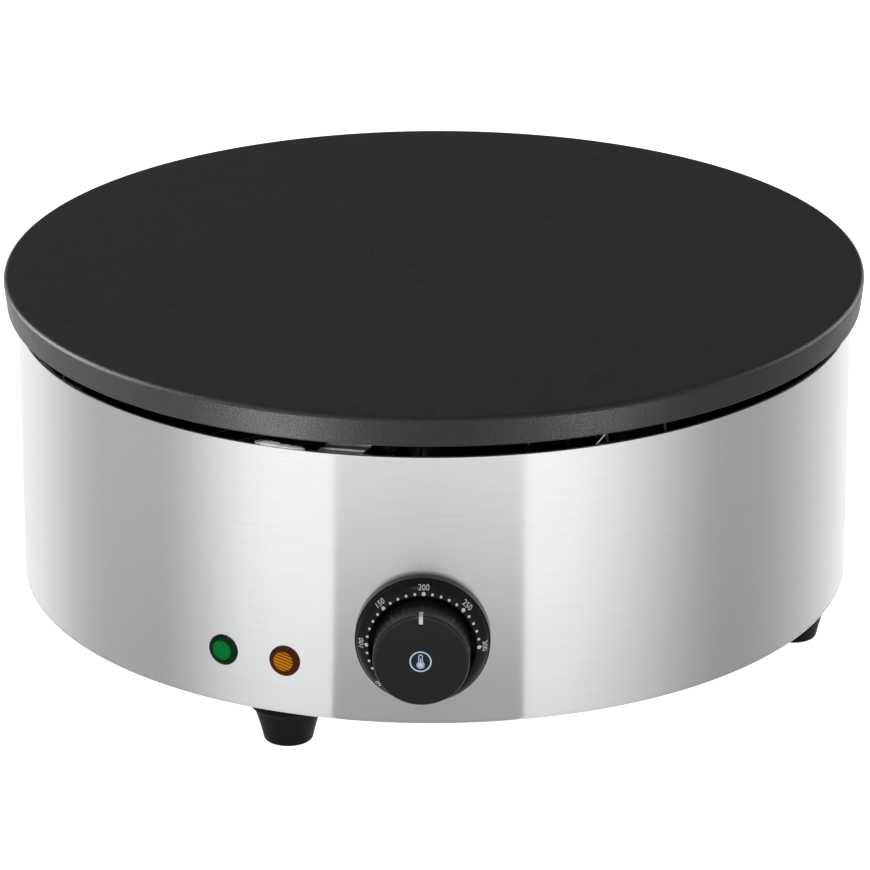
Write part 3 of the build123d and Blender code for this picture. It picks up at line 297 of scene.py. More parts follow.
def dress(material, *names):
    """Give CAD nodes their finish."""
    for name in names:
        nodes[name].material_slots[0].material = material


def evaluated_mesh(thing):
    """Plain mesh of an object with its modifiers, after which the object is removed."""
    bpy.context.view_layer.update()
    graph = bpy.context.evaluated_depsgraph_get()
    mesh = bpy.data.meshes.new_from_object(thing.evaluated_get(graph))
    bpy.data.objects.remove(thing)
    return mesh


def finished_mesh(name, shape):
    """Mesh out of a bmesh, which is freed."""
    mesh = bpy.data.meshes.new(name)
    shape.to_mesh(mesh)
    shape.free()
    return mesh


def settle(mesh, node, lift, longest, depth):
    """Lay flat marks on a CAD node from the front, then give them thickness.

    Long edges are cut first, so that a mark follows the curved face under it."""
    target = nodes[node]
    tree = BVHTree.FromPolygons(
        [v.co for v in target.data.vertices], [p.vertices for p in target.data.polygons]
    )
    shape = bmesh.new()
    shape.from_mesh(mesh)
    bmesh.ops.triangulate(shape, faces=shape.faces)
    for _ in range(4):
        long_edges = [e for e in shape.edges if e.calc_length() > longest]
        if not long_edges:
            break
        bmesh.ops.subdivide_edges(shape, edges=long_edges, cuts=1)
        bmesh.ops.triangulate(shape, faces=shape.faces)
    in_front = CAD_LOW.y - 100 * MM
    for vertex in shape.verts:
        hit = tree.ray_cast(Vector((vertex.co.x, in_front, vertex.co.z)), Vector((0, 1, 0)))[0]
        vertex.co.y = hit.y - lift
    bmesh.ops.remove_doubles(shape, verts=shape.verts, dist=0.001 * MM)
    rim = [e for e in shape.edges if e.is_boundary]
    skirt = bmesh.ops.extrude_edge_only(shape, edges=rim)
    for vertex in [v for v in skirt["geom"] if isinstance(v, bmesh.types.BMVert)]:
        vertex.co.y += depth
    bmesh.ops.recalc_face_normals(shape, faces=shape.faces)
    shape.to_mesh(mesh)
    shape.free()


def joined(name, meshes):
    """One mesh out of several."""
    shape = bmesh.new()
    for mesh in meshes:
        shape.from_mesh(mesh)
        bpy.data.meshes.remove(mesh)
    return finished_mesh(name, shape)


def polygon_mesh(name, points, faces):
    """Mesh from points and faces."""
    mesh = bpy.data.meshes.new(name)
    mesh.from_pydata(points, [], faces)
    mesh.update()
    return mesh


def skin(shape, rings):
    """Faces between closed rings of vertices, from each ring to the next."""
    for lower, upper in zip(rings, rings[1:]):
        for i, corner in enumerate(lower):
            j = (i + 1) % len(lower)
            shape.faces.new((corner, lower[j], upper[j], upper[i]))


def turned_ring(name, outline, shown, corners=720):
    """Closed ring turned about the Z axis. The outline goes down the outside and back inside.

    Its first points, as many as are shown, hold a reach, a height and the angle of the
    surface's normal above the level, so that the ring is smooth."""
    points, faces, normals = [], [], []
    for i in range(corners):
        turn = 2 * math.pi * i / corners
        for reach, height, lean in outline:
            points.append(round_axis(reach, turn, height))
            normals.append(round_axis(math.cos(lean), turn, math.sin(lean)))
    count = len(outline)
    for i in range(corners):
        here, there = i * count, (i + 1) % corners * count
        for k in range(count):
            m = (k + 1) % count
            faces.append((here + k, here + m, there + m, there + k))
    mesh = polygon_mesh(name, points, faces)
    mesh.polygons.foreach_set("use_smooth", [p.index % count < shown - 1 for p in mesh.polygons])
    mesh.normals_split_custom_set(
        [normals[v] if p.use_smooth else p.normal for p in mesh.polygons for v in p.vertices]
    )
    return mesh


def arc(reach, height, radius, start, end, steps):
    """Points of an outline along an arc, with the angles of their normals, in radians."""
    leans = [math.radians(start + (end - start) * i / steps) for i in range(steps + 1)]
    return [(reach + radius * math.cos(a), height + radius * math.sin(a), a) for a in leans]


# ------------------------------------------------------------------ repeated pieces
RING_INPUTS = (
    ("Count", "NodeSocketInt"),
    ("Ring Radius", "NodeSocketFloat"),
    ("First Angle", "NodeSocketFloat"),
    ("Angle Step", "NodeSocketFloat"),
    ("Large Every", "NodeSocketInt"),
    ("Large Scale", "NodeSocketFloat"),
    ("Copy", "NodeSocketObject"),
    ("Finish", "NodeSocketMaterial"),
)


def ring_tree():
    """Geometry Nodes that set copies of an object round the Z axis, every nth one larger."""
    name = "Ring_of_copies"
    if name in bpy.data.node_groups:
        return bpy.data.node_groups[name]
    tree = bpy.data.node_groups.new(name, "GeometryNodeTree")
    for label, kind in RING_INPUTS:
        tree.interface.new_socket(label, in_out="INPUT", socket_type=kind)
    tree.interface.new_socket("Geometry", in_out="OUTPUT", socket_type="NodeSocketGeometry")
    given = tree.nodes.new("NodeGroupInput").outputs
    index = add_node(tree, "GeometryNodeInputIndex")
    turned = add_node(tree, "ShaderNodeMath", {0: index, 1: given["Angle Step"]}, operation="MULTIPLY")
    bearing = add_node(tree, "ShaderNodeMath", {0: turned, 1: given["First Angle"]}, operation="ADD")
    along = []
    for wave in ("COSINE", "SINE"):
        part = add_node(tree, "ShaderNodeMath", {0: bearing}, operation=wave)
        along.append(
            add_node(tree, "ShaderNodeMath", {0: part, 1: given["Ring Radius"]}, operation="MULTIPLY")
        )
    place = add_node(tree, "ShaderNodeCombineXYZ", {0: along[0], 1: along[1]})
    points = add_node(tree, "GeometryNodeMeshLine", {"Count": given["Count"]})
    ring = add_node(tree, "GeometryNodeSetPosition", {"Geometry": points, "Position": place})
    turn = add_node(tree, "ShaderNodeCombineXYZ", {2: bearing})
    step = add_node(tree, "ShaderNodeMath", {0: index, 1: given["Large Every"]}, operation="MODULO")
    is_large = add_node(tree, "ShaderNodeMath", {0: step, 1: 0.5}, operation="LESS_THAN")
    size = add_node(tree, "ShaderNodeMapRange", {0: is_large, 3: 1.0, 4: given["Large Scale"]})
    shape = add_node(tree, "GeometryNodeObjectInfo", {"Object": given["Copy"]}, "Geometry")
    copies = add_node(
        tree,
        "GeometryNodeInstanceOnPoints",
        {"Points": ring, "Instance": shape, "Rotation": turn, "Scale": size},
    )
    real = add_node(tree, "GeometryNodeRealizeInstances", {0: copies})
    finished = add_node(
        tree, "GeometryNodeSetMaterial", {"Geometry": real, "Material": given["Finish"]}
    )
    add_node(tree, "NodeGroupOutput", {0: finished})
    return tree


def ring_of(template, finish, count, radius, first, step, every=1, larger=1.0):
    """Plain mesh of copies of a template mesh, set round the Z axis by Geometry Nodes."""
    source = bpy.data.objects.new("copy_source", template)
    carrier = bpy.data.objects.new("ring_carrier", bpy.data.meshes.new("ring_carrier"))
    for thing in (source, carrier):
        bpy.context.scene.collection.objects.link(thing)
    modifier = carrier.modifiers.new("Ring", "NODES")
    modifier.node_group = ring_tree()
    given = (count, radius, first, step, every, larger, source, finish)
    values = {label: value for (label, _), value in zip(RING_INPUTS, given)}
    for item in modifier.node_group.interface.items_tree:
        if item.in_out == "INPUT":
            modifier[item.identifier] = values[item.name]
    mesh = evaluated_mesh(carrier)
    bpy.data.objects.remove(source)
    return mesh


# ------------------------------------------------------------------ finishes, outside
def brushed_stainless_steel(colour):
    """Stainless sheet brushed round the drum: upright streaks of light over fine level lines.

    The inner face is dull mill finish, painted near black as shade, so the gap under the plate is
    dark."""
    steel = Finish(
        "Brushed_stainless_steel", colour, 1.0, 0.3, Anisotropic=1.0, Anisotropic_Rotation=0.25
    )
    # Fine lines all over, coarser than a real 0.1 mm so that they show, and here and there a
    # short deeper nick.
    lines = steel.noise(0.40 * MM, (60, 60, 1), 3.0)
    lines = steel.node("ShaderNodeMapRange", {0: lines, 1: 0.30, 2: 0.70})
    nicks = steel.noise(0.55 * MM, (9, 9, 1), 1.0)
    nicks = steel.node("ShaderNodeMapRange", {0: nicks, 1: 0.70, 2: 0.80})
    lines = steel.node("ShaderNodeMath", {0: lines, 1: nicks}, operation="SUBTRACT", use_clamp=True)
    height = steel.node("ShaderNodeSeparateXYZ", {0: steel.place}, "Z")
    outside = steel.past_any(
        (
            reach_of(steel.tree, steel.place),
            DRUM_INNER_RADIUS + 0.2 * SHEET,
            DRUM_INNER_RADIUS + 0.4 * SHEET,
        ),
        (height, DRUM_HIGH.z - 1.15 * SHEET, DRUM_HIGH.z - 1.05 * SHEET),
        (height, DRUM_LOW.z + 1.65 * SHEET, DRUM_LOW.z + 1.55 * SHEET),
    )
    streaks = steel.node(
        "ShaderNodeMix", {0: lines, 6: shaded(colour, 0.96), 7: colour}, 2, data_type="RGBA"
    )
    brushed = steel.node("ShaderNodeMapRange", {0: lines, 3: 0.185, 4: 0.168})
    # Painted shade: the inner face takes a near-black colour, so the gap reads dark.
    steel.stain(outside, linear(STEEL_INSIDE_PAINTED_SHADE), streaks)
    steel.roughen(outside, 0.7, brushed)
    steel.emboss(lines, 0.003 * MM, 0.4)
    steel.drive("Tangent", steel.node("ShaderNodeTangent", direction_type="RADIAL", axis="Z"))
    return steel.material


def non_stick_cast_iron(colour):
    """Cast iron under a sprayed non-stick coat: satin black with a sandy tooth."""
    coat = Finish("Non_stick_cast_iron", colour, 0.0, 0.42, Specular_IOR_Level=0.15)
    # The sand is drawn coarser than a real coat's, so that it shows.
    sand = coat.noise(0.75 * MM, detail=3.0)
    cloud = coat.noise(14 * MM, detail=3.0)
    mottled = coat.node("ShaderNodeMath", {0: sand, 1: cloud}, operation="ADD")
    coat.stain(sand, colour, linear(PLATE_GRIT))
    coat.roughen(mottled, 0.32, 0.46, 0.6, 1.4)
    coat.emboss(sand, 0.16 * MM, 0.9)
    return coat.material


def moulded_abs(name, colour, roughness, gloss=0.28):
    """Injection-moulded ABS with a fine spark-eroded grain and a soft sheen."""
    moulding = Finish(name, colour, 0.0, roughness, Specular_IOR_Level=gloss)
    grain = moulding.noise(0.30 * MM, detail=1.0)
    moulding.stain(grain, colour, shaded(colour, 1.35))
    moulding.roughen(grain, roughness - 0.05, roughness + 0.07)
    moulding.emboss(grain, 0.012 * MM, 0.4)
    return moulding.material


def screen_ink(colour, name="Screen_ink"):
    """Opaque pale ink, a little uneven where it has run into the grain."""
    ink = Finish(name, colour, 0.0, 0.5, Specular_IOR_Level=0.2)
    patches = ink.noise(0.5 * MM)
    ink.stain(patches, shaded(colour, 0.80), colour)
    ink.roughen(patches, 0.42, 0.6)
    return ink.material


def moulded_rubber():
    """Moulded rubber: near black, matt, with a waxy bloom in patches."""
    rubber = Finish("Moulded_rubber", linear(RUBBER), 0.0, 0.5, Specular_IOR_Level=0.06)
    bloom = rubber.noise(5 * MM, detail=3.0)
    rubber.stain(bloom, linear(RUBBER), linear("#101010"))
    rubber.roughen(bloom, 0.40, 0.58)
    rubber.emboss(rubber.noise(0.35 * MM), 0.02 * MM, 0.3)
    return rubber.material


def tinted_polycarbonate(name, core, rim, centre, rib_pitch, rib_tilts, depth):
    """Coloured clear polycarbonate over a reflector: core painted bright as light from the reflector,
    rim painted dark as shade, pressed ribs painted with stripes of shade.
    """
    window_radius, rim_radius = 4.1 * MM, 4.9 * MM
    sheen = {"Coat_Weight": 0.05, "Coat_Roughness": 0.06, "Specular_IOR_Level": 0.03}
    lens = Finish(name, core, 0.0, 0.16, **sheen)
    local = lens.node(
        "ShaderNodeMapping",
        {"Vector": lens.place, "Location": centre, "Rotation": (0, 0, bearing_of(centre))},
        vector_type="TEXTURE",
    )
    # Painted shade: from the core's edge out to the rim the colour darkens.
    edge = lens.node(
        "ShaderNodeMapRange",
        {0: reach_of(lens.tree, local, (1, 0, 1)), 1: window_radius, 2: rim_radius},
        interpolation_type="SMOOTHSTEP",
    )
    waves = []
    for tilt in rib_tilts:
        across = {"Vector": local, "Angle": math.radians(tilt)}
        across = lens.node("ShaderNodeVectorRotate", across, rotation_type="Y_AXIS")
        height = lens.node("ShaderNodeSeparateXYZ", {0: across}, "Z")
        phase = {0: height, 1: 2 * math.pi / rib_pitch}
        phase = lens.node("ShaderNodeMath", phase, operation="MULTIPLY")
        waves.append(lens.node("ShaderNodeMath", {0: phase}, operation="COSINE"))
    # Painted shade: darker stripes along the ribs.
    ribs = lens.past_any(*[(wave, -0.2, -0.9) for wave in waves])
    shade = (*[(1 - depth) * c + 0.2 * depth * r for c, r in zip(core[:3], rim[:3])], 1.0)
    window = lens.node("ShaderNodeMix", {0: ribs, 6: core, 7: shade}, 2, data_type="RGBA")
    # The bright core is painted light from the reflector; the dark rim is painted shade.
    lens.stain(edge, window, rim)
    return lens.material


# ------------------------------------------------------------------ finishes, inside and under
def galvanised_sheet():
    """Zinc-dipped sheet: blue-grey with frosty spangles of a few millimetres."""
    zinc = Finish("Galvanised_sheet", linear("#8E9193"), 1.0, 0.42)
    cells = {"Vector": zinc.place, "Scale": 1 / (6 * MM)}
    spangle = zinc.node(
        "ShaderNodeSeparateColor", {0: zinc.node("ShaderNodeTexVoronoi", cells, "Color")}
    )
    zinc.stain(spangle, linear("#7F8284"), linear("#A2A5A6"))
    zinc.roughen(spangle, 0.34, 0.52)
    return zinc.material


def plated_metal(name, hex_colour, roughness, grain):
    """Bright plated or drawn metal with drawing marks and small dull patches."""
    colour = linear(hex_colour)
    metal = Finish(name, colour, 1.0, roughness)
    marks = metal.noise(grain, detail=3.0)
    metal.stain(marks, shaded(colour, 0.72), colour)
    metal.roughen(marks, roughness + 0.12, roughness - 0.06)
    return metal.material


def heated_strap():
    """Steel strap painted almost black as shade, with painted highlights on its two bends."""
    # Painted shade: the strap's face is near black.
    dark = linear("#101011")
    # Where the hook over the hem starts, where the strap drops, and how soon each takes its painted
    # highlight.
    hook_height, drop_reach, onset = DRUM_HIGH.z - 1.5 * MM, 175.4 * MM, 0.4 * MM
    strap = Finish("Strap_painted_shade_and_highlights", dark, 1.0, 0.35)
    height = strap.node("ShaderNodeSeparateXYZ", {0: strap.place}, "Z")
    bends = strap.past_any(
        (height, hook_height, hook_height + onset),
        (reach_of(strap.tree, strap.place), drop_reach, drop_reach - onset),
    )
    glint_patches = strap.noise(1.5 * MM, detail=3.0)
    painted_glint = strap.node("ShaderNodeMath", {0: bends, 1: glint_patches}, operation="MULTIPLY")
    painted_glint = strap.node("ShaderNodeMapRange", {0: painted_glint, 1: 0.05, 2: 0.3})
    # Painted highlight: a near-white colour on the two bends, in patches.
    strap.stain(painted_glint, dark, linear("#F2F3F4"))
    strap.roughen(painted_glint, 0.6, 0.4)
    return strap.material


def oxidised_sheath():
    """Heater sheath of nickel alloy, oxidised to a grey green and blotched by heat."""
    sheath = Finish("Oxidised_sheath", linear("#4A4B45"), 0.85, 0.5)
    heat = sheath.noise(9 * MM, detail=4.0)
    sheath.stain(heat, linear("#35362F"), linear("#66645A"))
    sheath.roughen(heat, 0.42, 0.62)
    sheath.emboss(sheath.noise(0.4 * MM), 0.01 * MM, 0.4)
    return sheath.material


def glazed_steatite():
    """Steatite, cream but painted a dark brown-grey as shade in the housing, with a thin glaze over
    fine pits.
    """
    # Painted shade: the beads' colour is far darker than cream.
    bead = Finish("Glazed_steatite", linear("#6F685B"), 0.0, 0.4)
    pits = bead.noise(0.8 * MM, detail=3.0)
    bead.stain(pits, linear("#575045"), linear("#857C6C"))
    bead.emboss(pits, 0.02 * MM, 0.4)
    return bead.material


def needled_wool():
    """Ceramic-fibre blanket: off-white, matt and matted."""
    wool = Finish("Needled_wool", linear("#E4DFD0"), 0.0, 0.95)
    felt = wool.noise(6 * MM, detail=4.0)
    wool.stain(felt, linear("#CFC9B6"), linear("#EFEBDF"))
    wool.emboss(wool.noise(0.5 * MM, (8, 1, 1), 4.0), 0.4 * MM, 0.7)
    return wool.material


def braided_glass_sleeve():
    """Glass-fibre braid: white, with duller bands on the slant, far coarser than real yarns."""
    sleeve = Finish("Braided_glass_sleeve", linear("#F2F1EC"), 0.0, 0.8)
    # At a scale of 1, the bands along the diagonal are 2 pi / 10 / sqrt(3) metres apart.
    spacing = 6.53 * MM
    scale = math.pi / 5 / math.sqrt(3) / spacing
    yarns = sleeve.node(
        "ShaderNodeTexWave",
        {"Vector": sleeve.place, "Scale": scale, "Distortion": 1.0},
        "Fac",
        bands_direction="DIAGONAL",
    )
    sleeve.stain(yarns, linear("#C9C7C0"), linear("#FBFAF7"))
    sleeve.emboss(yarns, 0.15 * MM, 0.8)
    return sleeve.material


def loose_glass():
    """Loose glass filaments: clean white with a silky sheen."""
    glass = Finish("Loose_glass", linear("#FFFFFF"), 0.0, 0.35)
    dust = glass.noise(1.2 * MM, detail=3.0)
    glass.stain(dust, linear("#F2F1EE"), linear("#FFFFFF"))
    glass.roughen(dust, 0.3, 0.6)
    return glass.material


def soft_covering(name, hex_colour, roughness):
    """Extruded rubbery covering with a dusty skin."""
    colour = linear(hex_colour)
    covering = Finish(name, colour, 0.0, roughness)
    dust = covering.noise(3 * MM, detail=3.0)
    paler = (*[min(1.0, c * 1.4 + 0.01) for c in colour[:3]], 1.0)
    covering.stain(dust, colour, paler)
    covering.roughen(dust, roughness - 0.08, roughness + 0.1)
    return covering.material


# ------------------------------------------------------------------ fine shapes
def circle(radius, corners):
    """Closed round outline."""
    turns = [2 * math.pi * i / corners for i in range(corners)]
    return [(radius * math.cos(a), radius * math.sin(a)) for a in turns]


def disc(radius, corners):
    """Flat round mark in the XY plane, made of a fan of triangles."""
    ring = [(x, y, 0.0) for x, y in circle(radius, corners)]
    faces = [(corners, i, (i + 1) % corners) for i in range(corners)]
    return polygon_mesh("disc", [*ring, (0.0, 0.0, 0.0)], faces)


def keyhole(bulb, stem, top, corners):
    """Outline of a thermometer: a round bulb about the origin and a stem with a round top."""
    open_angle = math.asin(stem / bulb)
    start, end = math.pi / 2 + open_angle, math.pi / 2 - open_angle + 2 * math.pi
    outline = []
    for radius, centre, first, last in ((bulb, 0.0, start, end), (stem, top - stem, 0.0, math.pi)):
        for i in range(corners + 1):
            a = first + (last - first) * i / corners
            outline.append((radius * math.cos(a), centre + radius * math.sin(a)))
    return outline


def band(outer, inner):
    """Flat band between two closed outlines with as many points each."""
    count = len(outer)
    points = [(x, y, 0.0) for x, y in outer + inner]
    faces = [(i, (i + 1) % count, count + (i + 1) % count, count + i) for i in range(count)]
    return polygon_mesh("band", points, faces)


def number_mesh(text, height):
    """Flat digits, centred on the origin, with a given height, drawn a little wide."""
    height_of_font, widening = 0.70, 1.14
    curve = bpy.data.curves.new("digits", "FONT")
    curve.body = text
    curve.align_x = "CENTER"
    curve.align_y = "CENTER"
    curve.size = height / height_of_font
    curve.resolution_u = 4
    thing = bpy.data.objects.new("digits", curve)
    bpy.context.scene.collection.objects.link(thing)
    mesh = evaluated_mesh(thing)
    heights = [v.co.y for v in mesh.vertices]
    mesh.transform(Matrix.Translation((0, -(min(heights) + max(heights)) / 2, 0)))
    mesh.transform(Matrix.Diagonal((widening, 1, 1, 1)))
    return mesh


def cross_head(radius, height, crown, recess, corners=24, crown_steps=4):
    """Pan screw head with a cross recess. It points up; its seat is at the origin."""
    shape = bmesh.new()
    levels = [(radius, 0.0), (radius, height - crown)]
    for step in range(1, crown_steps + 1):
        a = math.pi / 2 * step / crown_steps
        levels.append(
            (radius - crown + crown * math.cos(a), height - crown + crown * math.sin(a))
        )
    rings = [[shape.verts.new((x, y, z)) for x, y in circle(r, corners)] for r, z in levels]
    skin(shape, rings)
    shape.faces.new(list(reversed(rings[0])))
    # The recess is a cross that narrows to a flat floor.
    arm, slot = recess, 0.28 * recess
    narrowing, floor_height = 0.75, 0.35 * height
    cross = []
    for quarter in range(4):
        turn = Matrix.Rotation(quarter * math.pi / 2, 2)
        cross += [turn @ Vector(p) for p in ((arm, -slot), (arm, slot), (slot, slot))]
    mouth = [shape.verts.new((p.x, p.y, height)) for p in cross]
    floor = [shape.verts.new((narrowing * p.x, narrowing * p.y, floor_height)) for p in cross]
    skin(shape, [mouth, floor])
    shape.faces.new(floor)
    edges = []
    for loop in (rings[-1], mouth):
        for pair in zip(loop, loop[1:] + loop[:1]):
            edges.append(shape.edges.get(pair) or shape.edges.new(pair))
    bmesh.ops.triangle_fill(shape, edges=edges, use_beauty=True)
    bmesh.ops.recalc_face_normals(shape, faces=shape.faces)
    return finished_mesh("cross_head", shape)


def tubes(name, paths, radius, sides):
    """Closed thin tubes along lists of points."""
    shape = bmesh.new()
    outline = [Vector((x, y, 0)) for x, y in circle(radius, sides)]
    for path in paths:
        rings = []
        for i, point in enumerate(path):
            ahead = path[min(i + 1, len(path) - 1)] - path[max(i - 1, 0)]
            turn = ahead.to_track_quat("Z", "Y")
            rings.append([shape.verts.new(point + turn @ corner) for corner in outline])
        skin(shape, rings)
        shape.faces.new(list(reversed(rings[0])))
        shape.faces.new(rings[-1])
    return finished_mesh(name, shape)


# ------------------------------------------------------------------ operators
class CREPE_OT_plate(bpy.types.Operator):
    """Coat the griddle plate"""

    bl_idname = "crepe.plate"
    bl_label = "Griddle plate"

    rim_round, foot_round = 2.2 * MM, 1.0 * MM
    # The wall leans in from its rounded rim down to its rounded foot.
    foot_reach = 197.80 * MM
    wall_height, wall_lean = 14.0 * MM, 1.55 * MM
    # The ring's inner wall, hidden in the plate: its depth from the rim's round, and how far
    # below the top its lower and upper edges lie.
    thickness = 1.3 * MM
    inner_edges = (12.5 * MM, 1.5 * MM)

    def execute(self, context):
        """Give the plate its finish, and turn its wall and rim finely so that light runs evenly."""
        coat = non_stick_cast_iron(context.scene.crepe_finish.coat[:])
        dress(coat, "cooking_plate")
        lean = math.degrees(math.atan2(self.wall_lean, self.wall_height))
        rim, foot = self.rim_round, self.foot_round
        reach, foot_height = PLATE_RADIUS - rim, PLATE_TOP - self.wall_height + foot
        wall = arc(reach, PLATE_TOP - rim, rim, 90, -lean, 12)
        wall += arc(self.foot_reach, foot_height, foot, -lean, -90, 6)
        inside = [(reach - self.thickness, PLATE_TOP - below, 0.0) for below in self.inner_edges]
        ring = turned_ring("plate_rim", wall + inside, len(wall))
        mesh_object("plate_rim", ring, coat, "housing", "plate")
        return {"FINISHED"}


class CREPE_OT_housing(bpy.types.Operator):
    """Brush the drum and finish the base cover"""

    bl_idname = "crepe.housing"
    bl_label = "Drum and base"

    skirt = 0.3 * MM

    def execute(self, context):
        """Dress the drum and the cover under it, and turn the drum's two edges finely."""
        steel = brushed_stainless_steel(context.scene.crepe_finish.steel[:])
        dress(steel, "housing_drum")
        dress(galvanised_sheet(), "base_plate")
        # The hem folds the sheet over with a round of one thickness.
        reach, height = DRUM_RADIUS - SHEET, DRUM_HIGH.z - SHEET
        low = height - self.skirt
        hem = [(reach - SHEET, low, math.pi)]
        hem += arc(reach, height, SHEET, 180, 0, 16)
        hem += [(DRUM_RADIUS, low, 0.0)]
        inside = [(reach + 0.5 * SHEET, low, 0.0), (reach - 0.5 * SHEET, low, 0.0)]
        ring = turned_ring("drum_hem", hem + inside, len(hem))
        mesh_object("drum_hem", ring, steel, "housing", "stainless")
        # The foot turns in with a bend of one and a half thicknesses.
        bend = 1.5 * SHEET
        reach, height = DRUM_RADIUS - bend, DRUM_LOW.z + bend
        foot = [(DRUM_RADIUS, height + self.skirt, 0.0)]
        foot += arc(reach, height, bend, 0, -90, 10)
        inside = arc(reach, height, bend - 0.5 * SHEET, -90, 0, 6)
        ring = turned_ring("drum_foot", foot + inside, len(foot))
        mesh_object("drum_foot", ring, steel, "housing", "stainless")
        return {"FINISHED"}


class CREPE_OT_dial(bpy.types.Operator):
    """Dress the bezel and print its scale"""

    bl_idname = "crepe.dial"
    bl_label = "Dial and scale"

    # Degrees clockwise from the top, and degrees Celsius.
    first_mark, last_dot = -135.0, 90.0
    celsius_per_dot, dots_per_number, lowest_number = 10, 5, 50
    lift, print_depth = 0.04 * MM, 0.08 * MM

    def execute(self, context):
        """Make the dots by Geometry Nodes and the numbers as text, both laid on the bezel."""
        dial, finish = context.scene.crepe_dial, context.scene.crepe_finish
        dress(moulded_abs("Moulded_ABS_bezel", finish.moulding[:], 0.26, 0.08), "dial_bezel")
        ink = screen_ink(finish.ink[:])
        step = math.degrees(dial.dot_step)
        count = round((self.last_dot - self.first_mark) / step) + 1
        dots = ring_of(
            disc(dial.dot_radius, 12),
            ink,
            count,
            radius=dial.dot_ring,
            first=math.radians(90 - self.first_mark) - dial.scale_turn,
            step=-dial.dot_step,
            every=self.dots_per_number,
            larger=dial.marked_dot,
        )
        aside = Matrix.Translation((dial.scale_shift, 0, 0))
        dots.transform(aside @ TO_FRONT)
        settle(dots, "dial_bezel", self.lift, longest=0.5 * MM, depth=self.print_depth)
        mesh_object("scale_dots", dots, ink, "housing", "pale_inlay")
        numbers = []
        for mark in range(0, count, self.dots_per_number):
            value = self.lowest_number + mark * self.celsius_per_dot
            turn = math.radians(-(self.first_mark + mark * step)) - dial.scale_turn
            mesh = number_mesh(str(value), dial.number_height)
            mesh.transform(Matrix.Translation((0, dial.number_ring, 0)))
            mesh.transform(aside @ TO_FRONT @ Matrix.Rotation(turn, 4, "Z"))
            numbers.append(mesh)
        scale = joined("scale_numbers", numbers)
        settle(scale, "dial_bezel", self.lift, longest=0.3 * MM, depth=self.print_depth)
        mesh_object("scale_numbers", scale, ink, "housing", "pale_inlay")
        return {"FINISHED"}


class CREPE_OT_knob(bpy.types.Operator):
    """Dress the knob, its pointer and the thermometer sign on its face"""

    bl_idname = "crepe.knob"
    bl_label = "Knob and sign"

    # The thermometer's glass, and the mercury in it: the bulb's radius, half the stem's width
    # and how far the stem's top is from the bulb's middle.
    glass = (1.75 * MM, 1.0 * MM, 5.0 * MM)
    mercury = (1.15 * MM, 0.26 * MM, 3.2 * MM)
    # How far the bulb stands under the circle's middle, and the circle off the knob's axis.
    bulb_drop = 1.6 * MM
    sign_offset = (-0.25 * MM, 0, -0.3 * MM)

    def execute(self, context):
        """Make the sign as flat bands laid on the dished face."""
        dial, finish = context.scene.crepe_dial, context.scene.crepe_finish
        dress(moulded_abs("Moulded_ABS_knob", finish.moulding[:], 0.27, 0.24), "control_knob")
        dress(screen_ink(linear(POINTER), "Pointer_inlay"), "pointer_inlay")
        dress(plated_metal("Zinc_plate_shaft", "#B9BABA", 0.3, 0.4 * MM), "thermostat_shaft")
        line = dial.sign_line
        # The glass is drawn with a thinner line than the circle.
        thin = 0.62 * line
        ring = band(circle(dial.sign_radius, 48), circle(dial.sign_radius - line, 48))
        outer = keyhole(*self.glass, 16)
        glass = band(outer, keyhole(*[size - thin for size in self.glass], 16))
        mercury = band(keyhole(*self.mercury, 16), [(0, 0)] * len(outer))
        low = Matrix.Translation((0, -self.bulb_drop, 0))
        glass.transform(low)
        mercury.transform(low)
        sign = joined("knob_sign", [ring, glass, mercury])
        sign.transform(Matrix.Translation(self.sign_offset) @ TO_FRONT)
        settle(sign, "control_knob", lift=0.03 * MM, longest=0.8 * MM, depth=0.07 * MM)
        pale_blue = screen_ink(linear(SIGN), "Pale_blue_ink")
        mesh_object("knob_sign", sign, pale_blue, "knob", "pale_inlay")
        return {"FINISHED"}


class CREPE_OT_lamps(bpy.types.Operator):
    """Tint the two indicator lenses and finish what holds them"""

    bl_idname = "crepe.lamps"
    bl_label = "Indicator lamps"

    def execute(self, context):
        """Give each lens its colour, with the pattern centred on its own axis."""
        # Node, finish, painted bright core, painted dark rim, rib pitch in mm, rib tilts in degrees,
        # and how dark the ribs' painted shade is.
        for node, name, core, rim, pitch, tilts, depth in (
            ("green_lamp_lens", "Green_polycarbonate", GREEN_CORE, GREEN_RIM, 0.85, (40, 130), 0.3),
            ("amber_lamp_lens", "Amber_polycarbonate", AMBER_CORE, AMBER_RIM, 1.35, (-15,), 0.6),
        ):
            core, rim = linear(core), linear(rim)
            lens = tinted_polycarbonate(name, core, rim, middle(node), pitch * MM, tilts, depth)
            dress(lens, node)
        dress(moulded_abs("Moulded_resin_lamp_body", linear("#2A2522"), 0.5), "lamp_bodies")
        dress(plated_metal("Spring_steel", "#8B8B88", 0.35, 0.3 * MM), "lamp_retainers")
        return {"FINISHED"}


class CREPE_OT_feet(bpy.types.Operator):
    """Finish the four rubber feet"""

    bl_idname = "crepe.feet"
    bl_label = "Feet"

    def execute(self, context):
        """All four feet share one rubber."""
        dress(moulded_rubber(), "foot_front", "foot_right", "foot_rear", "foot_left")
        return {"FINISHED"}


